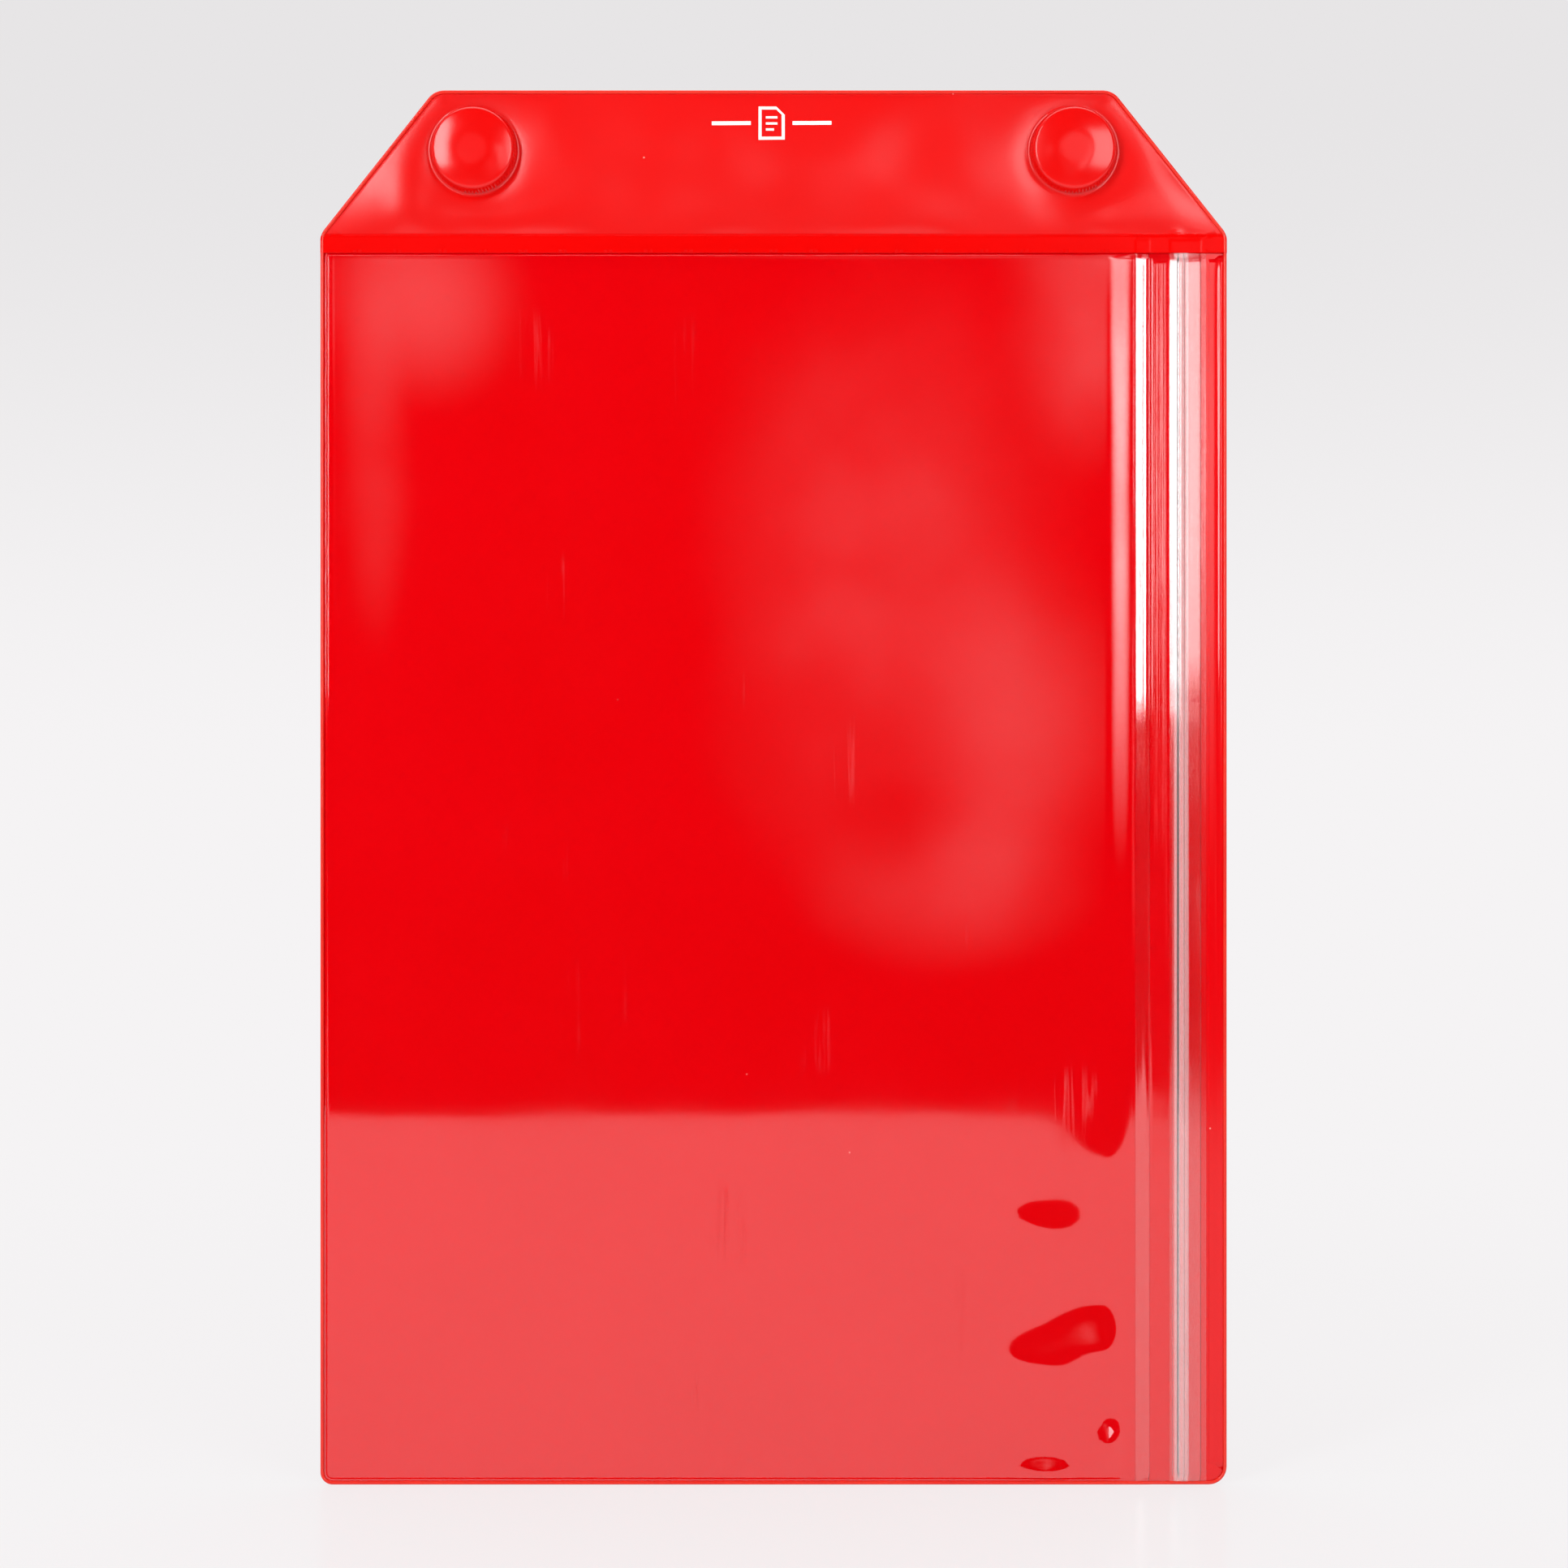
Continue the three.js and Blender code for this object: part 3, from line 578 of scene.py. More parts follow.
def end_tree(tree, geometry, material):
    """The last steps of every tree: smooth shading, real geometry and a material."""
    smooth = added(tree, "GeometryNodeSetShadeSmooth", {"Geometry": geometry})
    real = added(tree, "GeometryNodeRealizeInstances", {"Geometry": smooth.outputs[0]})
    paint = added(tree, "GeometryNodeSetMaterial", {"Geometry": real.outputs[0], "Material": material})
    tree.links.new(paint.outputs[0], tree.nodes.new("NodeGroupOutput").inputs["Geometry"])


# %% A tree that runs a round bead along a path


def bead_tree():
    tree, entry = new_tree("weld_bead", [("Bead radius", "Float"), ("Sides", "Int")])
    path = added(tree, "GeometryNodeMeshToCurve", {"Mesh": entry["Geometry"]})
    circle = added(tree, "GeometryNodeCurvePrimitiveCircle", {
        "Radius": entry["Bead radius"], "Resolution": entry["Sides"],
    })
    sweep = added(tree, "GeometryNodeCurveToMesh", {
        "Curve": path.outputs[0], "Profile Curve": circle.outputs["Curve"],
    })
    end_tree(tree, sweep.outputs[0], entry["Material"])
    return tree


def grown(base, tree, **inputs):
    """The plain mesh that a tree makes on a base object, with the tree taken off again."""
    modifier = base.modifiers.new(tree.name, "NODES")
    modifier.node_group = tree
    for item in tree.interface.items_tree:
        if item.item_type == "SOCKET" and item.in_out == "INPUT":
            value = inputs.get(item.name.lower().replace(" ", "_"))
            if value is not None:
                modifier[item.identifier] = value
    seen = base.evaluated_get(bpy.context.evaluated_depsgraph_get())
    mesh = bpy.data.meshes.new_from_object(seen)
    base.modifiers.remove(modifier)
    base.data = mesh
    return base


# %% [markdown]
# The front tape with its jaws
#
# An extruded strip is one section pulled along a line, so it is a rule and not a sculpture. Its
# section is drawn once as a closed loop: the roof with three small grip ribs, and behind it the
# two jaws that hook behind the arrow head. Geometry Nodes pull it along the mouth and press its
# ends flat where the welds hold them. Extruding it by hand would need the ends shaped twice.

# %% The section, and a tree that pulls and presses it
JAW_NEAR, JAW_FAR, JAW_BACK, JAW_DRAFT = 0.74, 1.12, 0.9, 0.02
RIB_PITCH, RIB_HALF, RIB_HEIGHT = 0.95, 0.34, 0.05


def strip_section():
    """The front tape's section in mm as points of x and front, round its outside."""
    xs = np.arange(TAPE_LEFT, TAPE_RIGHT + 0.01, 0.12)
    ribs = np.zeros(len(xs))
    for k in (-1, 0, 1):
        off = np.clip(np.abs(xs - PROFILE_X - k * RIB_PITCH) / RIB_HALF, 0, 1)
        ribs += RIB_HEIGHT * np.cos(np.pi * off / 2) ** 2
    off = np.abs(xs - PROFILE_X)
    plain = xs[(off < JAW_NEAR - 0.1) | (off > JAW_FAR + 0.1)][::2]
    below = [(x, float(tape_front(x)) - TAPE_THICKNESS) for x in plain]
    for side in (-1, 1):
        for d, draft in ((JAW_NEAR, 1), (JAW_FAR, -1)):
            x = PROFILE_X + side * d
            below.append((x - side * draft * JAW_DRAFT, float(tape_front(x)) - TAPE_THICKNESS))
            below.append((x + side * draft * JAW_DRAFT, JAW_BACK))
    below.sort(reverse=True)
    return list(zip(xs, tape_front(xs) + ribs)) + below


def strip_tree():
    sizes = ("Weld foot", "Weld top", "Weld depth", "Crush length", "Pressed back", "Pressed share", "Waves")
    tree, entry = new_tree("pulled_strip", [*((label, "Float") for label in sizes), ("Rows", "Int")])
    start = maths(tree, "SUBTRACT", entry["Weld foot"], entry["Weld depth"])
    end = maths(tree, "ADD", entry["Weld top"], entry["Weld depth"])
    line = added(tree, "GeometryNodeCurvePrimitiveLine", {
        "Start": added(tree, "ShaderNodeCombineXYZ", {"Z": start}).outputs[0],
        "End": added(tree, "ShaderNodeCombineXYZ", {"Z": end}).outputs[0],
    })
    path = added(tree, "GeometryNodeResampleCurve", {"Curve": line.outputs[0], "Count": entry["Rows"]})
    section = added(tree, "GeometryNodeMeshToCurve", {"Mesh": entry["Geometry"]})
    pull = added(tree, "GeometryNodeCurveToMesh", {
        "Curve": path.outputs[0], "Profile Curve": section.outputs[0], "Fill Caps": True,
    })
    place = tree.nodes.new("GeometryNodeInputPosition").outputs[0]
    x, y, z = split(tree, place)
    over_foot = maths(tree, "DIVIDE", maths(tree, "SUBTRACT", z, entry["Weld foot"]), entry["Crush length"])
    under_top = maths(tree, "DIVIDE", maths(tree, "SUBTRACT", entry["Weld top"], z), entry["Crush length"])
    free = maths(tree, "MINIMUM", over_foot, under_top, clamp=True)
    off_middle = maths(tree, "SUBTRACT", noise(tree, place, 16.0, 3.0), 0.5)
    wave = maths(tree, "MULTIPLY", off_middle, entry["Waves"])
    front = maths(tree, "ADD", maths(tree, "MULTIPLY", y, -1.0), wave)
    flat = maths(tree, "ADD", entry["Pressed back"], maths(tree, "MULTIPLY", front, entry["Pressed share"]))
    raised = maths(tree, "MULTIPLY", free, maths(tree, "SUBTRACT", front, flat))
    back = maths(tree, "MULTIPLY", maths(tree, "ADD", flat, raised), -1.0)
    put = added(tree, "ShaderNodeCombineXYZ", {"X": x, "Y": back, "Z": z})
    settle = added(tree, "GeometryNodeSetPosition", {"Geometry": pull.outputs[0], "Position": put.outputs[0]})
    end_tree(tree, settle.outputs[0], entry["Material"])
    return tree


def make_front_tape(material):
    base = closed_line("front_tape", [(x, -front, 0.0) for x, front in strip_section()])
    return grown(
        base, strip_tree(), weld_foot=(FOOT + RIM) * MM, weld_top=HEADER_FOOT * MM, weld_depth=0.6 * MM,
        crush_length=CRUSH * MM, pressed_back=(SEAT + 0.1) * MM, pressed_share=0.05, waves=0.5 * MM,
        rows=240, material=material,
    )


# %% [markdown]
# Effects that several finishes share
#
# Red sheet, clear film and strip are all soft PVC: each has a fine calender grain, slow patches
# where the sheet is a little duller, and dust. Each effect is one node group with named inputs,
# placed in every material with its own values. Painting textures would look alike on one view,
# but would blur in a close one.

# %% Node groups for grain, patches and dust
FINE_GRAIN, COARSE_GRAIN = 2600.0, 1200.0
SPECK_SHARE = 0.07  # the share of the cells that holds a speck


def new_group(name, inputs, outputs):
    """A group that takes a vector and numbers, each with its default, and gives masks or heights."""
    group = bpy.data.node_groups.new(name, "ShaderNodeTree")
    group.interface.new_socket("Vector", in_out="INPUT", socket_type="NodeSocketVector")
    for label, value in inputs.items():
        socket = group.interface.new_socket(label, in_out="INPUT", socket_type="NodeSocketFloat")
        socket.default_value = value
    for label in outputs:
        group.interface.new_socket(label, in_out="OUTPUT", socket_type="NodeSocketFloat")
    return group, group.nodes.new("NodeGroupInput").outputs, group.nodes.new("NodeGroupOutput")


def ranged(tree, value, low, high, to_low=0.0, to_high=1.0):
    """A value brought softly from one range to another."""
    inputs = {"Value": value, "From Min": low, "From Max": high, "To Min": to_low, "To Max": to_high}
    return added(tree, "ShaderNodeMapRange", inputs, interpolation_type="SMOOTHSTEP").outputs["Result"]


def grain_group():
    """Calender grain as a height, and slow patches as a mask."""
    sizes = {"Grain scale": FINE_GRAIN, "Patch scale": 22.0, "Orange peel": 0.5}
    group, entry, leave = new_group("pvc_grain", sizes, ("Height", "Patches"))
    fine = noise(group, entry["Vector"], entry["Grain scale"], 2.0)
    peel = noise(group, entry["Vector"], maths(group, "MULTIPLY", entry["Grain scale"], 0.22), 1.0)
    height = maths(group, "ADD", fine, maths(group, "MULTIPLY", peel, entry["Orange peel"]))
    patches = noise(group, entry["Vector"], entry["Patch scale"], 3.0)
    feed(group, leave, {"Height": height, "Patches": ranged(group, patches, 0.3, 0.72)})
    return group


def dust_group():
    """Specks and hair scratches as masks."""
    sizes = {"Speck scale": 120.0, "Speck size": 0.05, "Scratch scale": 60.0}
    group, entry, leave = new_group("dust_and_scratches", sizes, ("Specks", "Scratches"))
    place = entry["Vector"]
    cells = added(group, "ShaderNodeTexVoronoi", {"Vector": place, "Scale": entry["Speck scale"]}).outputs
    near = maths(group, "LESS_THAN", cells["Distance"], entry["Speck size"])
    chance = added(group, "ShaderNodeSeparateColor", {"Color": cells["Color"]}).outputs[0]
    picked = maths(group, "GREATER_THAN", chance, 1 - SPECK_SHARE)
    stretch = added(group, "ShaderNodeMapping", {
        "Vector": place, "Rotation": (0.0, 0.35, 0.0), "Scale": (1.0, 1.0, 0.035),
    })
    lines = noise(group, stretch.outputs[0], entry["Scratch scale"], 4.0, 0.7)
    thin = maths(group, "SUBTRACT", 1.0, maths(group, "ABSOLUTE", maths(group, "SUBTRACT", lines, 0.5)))
    area = noise(group, place, maths(group, "MULTIPLY", entry["Scratch scale"], 0.5), 1.0)
    kept = maths(group, "MULTIPLY", ranged(group, thin, 0.988, 0.999), ranged(group, area, 0.6, 0.75))
    feed(group, leave, {"Specks": maths(group, "MULTIPLY", near, picked), "Scratches": kept})
    return group


GRAIN = grain_group()
DUST = dust_group()
print("Node groups:", GRAIN.name, "and", DUST.name)

# %% Helpers for materials


def srgb(red, green, blue, alpha=1.0):
    """A colour written as it is read off a picture, for a shader."""
    parts = []
    for part in (red, green, blue):
        part = part / 255
        parts.append(part / 12.92 if part <= 0.04045 else ((part + 0.055) / 1.055) ** 2.4)
    return (*parts, alpha)


def blank_material(name):
    material = bpy.data.materials.new(name)
    material.use_nodes = True
    tree = material.node_tree
    tree.nodes.clear()
    shader = tree.nodes.new("ShaderNodeBsdfPrincipled")
    leave = tree.nodes.new("ShaderNodeOutputMaterial")
    place = tree.nodes.new("ShaderNodeTexCoord")
    tree.links.new(shader.outputs[0], leave.inputs["Surface"])
    return material, tree, shader, leave, place.outputs["Object"]


def placed(tree, group, vector, **values):
    """The outputs of a group placed in a material, with this material's own values."""
    inputs = {name.replace("_", " ").capitalize(): value for name, value in values.items()}
    return added(tree, "ShaderNodeGroup", {"Vector": vector, **inputs}, node_tree=group).outputs


def mixed(tree, factor, first, second):
    """A colour between two others, by a mask. A Mix node has its colours at 6, 7 and output 2."""
    return added(tree, "ShaderNodeMix", {0: factor, 6: first, 7: second}, data_type="RGBA").outputs[2]


def chosen(tree, factor, first, second):
    """The first shader where the factor is 0, and the second where it is 1."""
    return added(tree, "ShaderNodeMixShader", {0: factor, 1: first, 2: second}).outputs[0]


def bumped(tree, shader, height, distance):
    bump = added(tree, "ShaderNodeBump", {"Strength": 1.0, "Distance": distance, "Height": height})
    feed(tree, shader, {"Normal": bump.outputs["Normal"]})


# %% [markdown]
# Red sheet
#
# Opaque PVC, coloured through, with a satin roll finish. The light that it shows is mostly its own
# red, with a soft sheen on top. A Principled shader whose roughness is broken up by slow patches
# and a fine grain is enough, with masks where the sheet is stretched or pressed smooth. Subsurface
# light would soften the bead a little, at a high cost in noise.

# %% Red PVC
SMOOTH_ROUGHNESS, SMOOTH_GRAIN = 0.72, 0.15  # what is left of each where the sheet is smooth


def across(tree, value, line, half, before, after):
    """From one value to another where a place crosses a line. Line and half width are in mm."""
    return ranged(tree, value, (line - half) * MM, (line + half) * MM, before, after)


def over_magnets(tree, place):
    """1 on the stretched domes over the magnets, 0 elsewhere."""
    x, y, z = split(tree, place)
    x = maths(tree, "SUBTRACT", maths(tree, "ABSOLUTE", x), MAGNET_X * MM)
    both = maths(tree, "ADD", maths(tree, "MULTIPLY", x, x), maths(tree, "MULTIPLY", z, z))
    return across(tree, maths(tree, "SQRT", both), DOME_WALL, 0.5, 1.0, 0.0)


def red_pvc(name, colour, deeper, roughness, grain_depth, glossy=None, shine=0.5):
    """Red sheet. Glossy makes a mask of where it is smooth, and shine is how much it mirrors."""
    material, tree, shader, leave, place = blank_material(name)
    grain = placed(tree, GRAIN, place, patch_scale=26.0, grain_scale=COARSE_GRAIN if glossy else FINE_GRAIN)
    dust = placed(tree, DUST, place, speck_scale=150.0, speck_size=0.035)
    base = mixed(tree, grain["Patches"], colour, deeper)
    rough = ranged(tree, grain["Patches"], 0.0, 1.0, roughness, roughness * 1.1)
    height = grain["Height"]
    if glossy:
        mask = glossy(tree, place)
        rough = maths(tree, "MULTIPLY", rough, ranged(tree, mask, 0.0, 1.0, 1.0, SMOOTH_ROUGHNESS))
        height = maths(tree, "MULTIPLY", height, ranged(tree, mask, 0.0, 1.0, 1.0, SMOOTH_GRAIN))
    feed(tree, shader, {
        "Base Color": mixed(tree, dust["Specks"], base, srgb(250, 150, 140)), "Roughness": rough,
        "Specular IOR Level": shine(tree, place) if callable(shine) else shine,
    })
    bumped(tree, shader, height, grain_depth)
    return material


def header_gloss(tree, place):
    """The domes are stretched smooth, and the seam is pressed smooth."""
    seam = across(tree, split(tree, place)["Z"], SEAM_TOP, 0.4, 1.0, 0.0)
    return maths(tree, "MAXIMUM", over_magnets(tree, place), seam)


def header_shine(tree, place):
    """The pressed seam is dense and dark, and mirrors less than the satin sheet over it."""
    return across(tree, split(tree, place)["Z"], SEAM_TOP, 0.2, 0.08, 0.5)


def sheet_shine(tree, place):
    """The film clings to the front and hides its shine. The bare strip and the back keep it."""
    x, y, z = split(tree, place)
    bare = ranged(tree, x, (TAPE_LEFT + 8) * MM, (TAPE_LEFT + 14) * MM, 0.02, 0.5)
    back = ranged(tree, y, -0.3 * MM, -0.1 * MM, 0.02, 0.5)
    return maths(tree, "MAXIMUM", bare, back)


header_red = red_pvc(
    "header_red", srgb(229, 2, 1), srgb(225, 1, 0), 0.24, 0.000012, header_gloss, header_shine
)
sheet_red = red_pvc("sheet_red", srgb(226, 0, 9), srgb(224, 0, 7), 0.12, 0.000002, shine=sheet_shine)
bead_red = red_pvc("bead_red", srgb(236, 48, 30), srgb(228, 32, 20), 0.2, 0.000003)
print("Red materials are ready")

# %% [markdown]
# Clear film and strip
#
# Both are clear PVC. Real refraction would keep the lamps from lighting the red sheet behind, or
# make it very noisy, so the lamps pass straight through by way of Light Path, and only what the
# camera sees is bent and mirrored. Each of the film's two faces mirrors about a twentieth of what
# is in front of it, which is the pale veil over the foot of the pocket.

# %% Clear PVC
CLEAR_IOR = 1.55


def extrusion_group():
    """Fine lines along Z, as the die leaves them on an extruded strip, as a height."""
    group, entry, leave = new_group("extrusion_lines", {"Lines per metre": 900.0}, ("Height",))
    stretch = added(group, "ShaderNodeMapping", {"Vector": entry["Vector"], "Scale": (1.0, 0.0, 0.004)})
    lines = noise(group, stretch.outputs[0], entry["Lines per metre"], 3.0, 0.55)
    feed(group, leave, {"Height": lines})
    return group


LINES = extrusion_group()


def clear_pvc(name, tint, roughness, grain_depth, ribs_from, ribs_depth, milk_and_painted_sheen=0.0):
    """Clear PVC. Ribs start at an X in mm. The last argument whitens the closing profile: partly the strip's
    own milkiness, partly painted reflection of the lamps in its many faces.
    """
    material, tree, shader, leave, place = blank_material(name)
    grain = placed(tree, GRAIN, place, patch_scale=30.0, orange_peel=1.0)
    dust = placed(tree, DUST, place, speck_scale=110.0, speck_size=0.04)
    rough = ranged(tree, grain["Patches"], 0.0, 1.0, roughness, roughness * 1.35)
    scuffed = maths(tree, "MULTIPLY", dust["Scratches"], 0.2)
    x = split(tree, place)["X"]
    clear = 1.0
    # Painted reflection in part: the profile turns a little diffuse white, for its own milkiness and for the
    # lamps that its many faces mirror.
    if milk_and_painted_sheen:
        off = maths(tree, "ABSOLUTE", maths(tree, "SUBTRACT", x, PROFILE_X * MM))
        clear = ranged(tree, off, 1.5 * MM, 2.1 * MM, 1.0 - milk_and_painted_sheen, 1.0)
    feed(tree, shader, {
        "Base Color": mixed(tree, dust["Specks"], tint, srgb(255, 214, 206)), "IOR": CLEAR_IOR,
        "Roughness": maths(tree, "ADD", rough, scuffed), "Transmission Weight": clear,
    })
    ribs = placed(tree, LINES, place)
    ribbed = ranged(tree, x, ribs_from * MM, (ribs_from + 0.3) * MM, 0.0, ribs_depth)
    fine = maths(tree, "MULTIPLY", grain["Height"], grain_depth)
    height = maths(tree, "ADD", fine, maths(tree, "MULTIPLY", ribs["Height"], ribbed))
    bumped(tree, shader, height, 1.0)
    through = added(tree, "ShaderNodeBsdfTransparent", {"Color": (0.985, 0.98, 0.98, 1.0)}).outputs[0]
    rays = tree.nodes.new("ShaderNodeLightPath").outputs
    passing = maths(tree, "MAXIMUM", rays["Is Shadow Ray"], rays["Is Diffuse Ray"])
    tree.links.new(chosen(tree, passing, shader.outputs[0], through), leave.inputs["Surface"])
    return material


PALE_PVC = srgb(255, 250, 250)
clear_film = clear_pvc("clear_film", PALE_PVC, 0.03, 0.0000004, TAPE_LEFT - 1, 0.00007)
front_strip = clear_pvc("front_strip", PALE_PVC, 0.06, 0.000001, TAPE_LEFT, 0.00003, milk_and_painted_sheen=0.06)
back_strip = clear_pvc("back_strip", PALE_PVC, 0.08, 0.000001, TAPE_LEFT, 0.00003, milk_and_painted_sheen=0.15)
print("Clear materials are ready")

# %% [markdown]
# What is hidden
#
# The caps, cups and discs of the magnets lie under the domes. They still get honest finishes, for
# anyone who takes the pocket apart: moulded plastic, zinc on steel and nickel on the magnet.

# %% Plastic and plated metal


def hidden_finish(name, colour, metallic, roughness):
    material, tree, shader, leave, place = blank_material(name)
    grain = placed(tree, GRAIN, place, grain_scale=1500.0, patch_scale=120.0)
    paler = tuple(min(1.0, c * 1.25) for c in colour[:3]) + (1.0,)
    rough = ranged(tree, grain["Patches"], 0.0, 1.0, roughness, roughness * 1.3)
    colours = mixed(tree, grain["Patches"], colour, paler)
    feed(tree, shader, {"Base Color": colours, "Metallic": metallic, "Roughness": rough})
    bumped(tree, shader, grain["Height"], 0.00002)
    return material


FINISHES = {
    "magnet_cap": hidden_finish("cap_plastic", srgb(46, 46, 50), 0.0, 0.5),
    "magnet_cup": hidden_finish("plated_steel", srgb(180, 183, 188), 1.0, 0.28),
    "magnet_disc": hidden_finish("nickel", srgb(196, 194, 188), 1.0, 0.2),
}

# %% Give every piece its finish


def dress(piece, material):
    piece.data.materials.clear()
    piece.data.materials.append(material)


for name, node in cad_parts.items():
    kind = name.rsplit("_", 1)[0]
    if kind in FINISHES:
        dress(node, FINISHES[kind])
dress(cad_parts["back_sheet"], sheet_red)
dress(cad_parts["zip_back_half"], back_strip)
front_tape = make_front_tape(front_strip)
dress(film, clear_film)
dress(header, header_red)
print("Dressed", len(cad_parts), "nodes")

# %% Run the bead round the pocket
BEAD_RADIUS = 0.46
BEAD_RISE = 0.12  # how far the bead's middle stands in front of the rim


def bead_front(x, z):
    """Front of the rim that the bead sits on, in mm."""
    on_header = smooth_step((z - HEADER_FOOT) / 1.0)
    under_film = (x < FILM_RIGHT) & (z < HEADER_FOOT)
    plain = np.where(under_film, SEAT + PRESSED, BACK_FRONT)
    return plain * (1 - on_header) + (SEAT + PRESSED) * on_header


def make_bead():
    path = outline(BEAD_RADIUS, 2.0)
    front = bead_front(path[:, 0], path[:, 1]) + BEAD_RISE
    base = closed_line("weld_bead", np.column_stack([path[:, 0], -front, path[:, 1]]))
    return grown(base, bead_tree(), bead_radius=BEAD_RADIUS * MM, sides=10, material=bead_red)


bead = make_bead()
print("Bead:", len(bead.data.polygons), "faces")

# %% [markdown]
# The lip at the mouth
#
# To the right of the strip the back sheet is bare. The heat of its rim weld has drawn it up a
# little, most at the top, so it swells just before the bead and catches the left lamp there. The
# packed sheet is flat, so the swelling is a thin sheet of its own that lies on it.

# %% The lip
LIP_FROM = TAPE_RIGHT + 2.2
LIP_CREST = RIGHT - 1.5
LIP_TO = RIGHT - 0.45


def make_lip():
    xs = np.concatenate([np.linspace(LIP_FROM, LIP_CREST - 2.0, 6), np.linspace(LIP_CREST - 1.8, LIP_TO, 22)])
    zs = np.linspace(FOOT + RIM + 2.5, HEADER_FOOT - 0.4, 150)
    x, z = np.tile(xs, len(zs)), np.repeat(zs, len(xs))
    share = (z - zs[0]) / (zs[-1] - zs[0])
    crest = 0.16 + 0.3 * share**1.5 + 0.015 * np.sin(z / 11.0) + 0.01 * np.sin(z / 4.3)
    rise = np.exp(-np.clip((LIP_CREST - x) / 0.75, 0, None) ** 2) * (x < LIP_CREST)
    fall = 1 - smooth_step((x - LIP_CREST) / (LIP_TO - LIP_CREST))
    ends = smooth_step((z - zs[0]) / 4.0) * smooth_step((zs[-1] - z) / 3.0)
    front = BACK_FRONT - 0.02 + (0.05 + crest * np.where(x < LIP_CREST, rise, fall)) * ends
    return closed_sheet("mouth_lip", x, z, front, front - BACK_FRONT + 0.06, *grid(len(xs), len(zs)))


lip = make_lip()
dress(lip, sheet_red)
print("Lip:", len(lip.data.vertices), "points")

# %% [markdown]
# Print
#
# The header carries a small white sign in its middle: a sheet of paper with lines on it, between
# two bars. It is a flat film of ink, so each shape is a thin plate that takes its height from the
# header under it. A picture on the header would do too, but would blur in a close view.

# %% A plain printed sign
INK = 0.08


def ink_plate(name, polygons):
    """Flat shapes in mm from the sign's middle, laid on the header as a thin layer of ink."""
    vertices, faces = [], []
    for polygon in polygons:
        start, count = len(vertices), len(polygon)
        for layer in (INK, INK / 4):
            for x, z in polygon:
                x, z = SIGN_X + x, SIGN_Z + z
                vertices.append((x, -(float(header_front(x, z)) + layer), z))
        faces.append(tuple(range(start, start + count)))
        faces.append(tuple(start + count + k for k in reversed(range(count))))
        for k in range(count):
            after = (k + 1) % count
            faces.append((start + k, start + count + k, start + count + after, start + after))
    return finished_mesh(name, vertices, faces, smooth=False)


def bar(x0, z0, x1, z1):
    """A bar cut into short lengths, so that it bends with the header."""
    xs = np.linspace(x0, x1, max(1, round((x1 - x0) / 0.8)) + 1)
    zs = np.linspace(z0, z1, max(1, round((z1 - z0) / 0.8)) + 1)
    return [[(a, c), (b, c), (b, d), (a, d)] for a, b in zip(xs, xs[1:]) for c, d in zip(zs, zs[1:])]


SIGN_X, SIGN_Z = -0.5, TOP - 8.7
SIGN_STROKE = 0.8
sign_shapes = [[(1.2, 3.6), (2.6, 2.2), (3.4, 2.2), (1.2, 4.4)]]
for corners in [
    (-3.4, -4.4, -3.4 + SIGN_STROKE, 4.4), (-2.6, -4.4, 2.6, -4.4 + SIGN_STROKE), (2.6, -4.4, 3.4, 2.2),
    (-2.6, 4.4 - SIGN_STROKE, 1.2, 4.4), (-1.5, 1.2, 1.5, 1.8), (-1.5, -0.4, 1.5, 0.2),
    (-1.5, -2.0, 0.6, -1.4), (-15.5, -0.5, -5.4, 0.5), (5.4, -0.5, 15.5, 0.5),
]:
    sign_shapes += bar(*corners)
sign = ink_plate("printed_sign", sign_shapes)


def white_ink():
    material, tree, shader, leave, place = blank_material("white_ink")
    grain = placed(tree, GRAIN, place, grain_scale=1800.0, patch_scale=200.0)
    base = mixed(tree, grain["Patches"], srgb(255, 250, 249), srgb(252, 236, 234))
    feed(tree, shader, {"Base Color": base, "Roughness": 0.45})
    bumped(tree, shader, grain["Height"], 0.000006)
    return material


dress(sign, white_ink())
print("Sign:", len(sign.data.polygons), "faces")

# %% Say what each piece belongs to
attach(film, "root")
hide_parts("window_film")
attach(front_tape, "root")
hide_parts("zip_front_half")
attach(header, "root")
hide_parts("header_sheet")
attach(bead, "root")
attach(lip, "root")
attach(sign, "root")

# %% [markdown]
# The studio
#
# The pocket stands on a glossy white table in a room that is dark in front of it. Two tall soft
# boxes stand left and right of the camera, with their lower edges above the table, so that only
# the upper half of the pocket catches them on its slopes. The table's near edge is what draws the
# sharp line across the film. The background is white by colour, not by more light.

# %% Floor
TABLE = FOOT * MM
TABLE_EDGE = -0.895
FAR = 6.0
PALE = srgb(245, 243, 244)
NEAR_WHITE = 0.84  # how much of the floor's own glow the camera sees beside the pocket
FILL = 0.45  # strength of the even light from all round


def plane(name, corners):
    mesh = bpy.data.meshes.new(name)
    mesh.from_pydata(corners, [], [(0, 1, 2, 3)])
    piece = bpy.data.objects.new(name, mesh)
    bpy.context.scene.collection.objects.link(piece)
    return piece


def shiny_rays(tree, rays):
    """1 for what a mirror or clear film shows, 0 for the rest."""
    return maths(tree, "MAXIMUM", rays["Is Glossy Ray"], rays["Is Transmission Ray"])


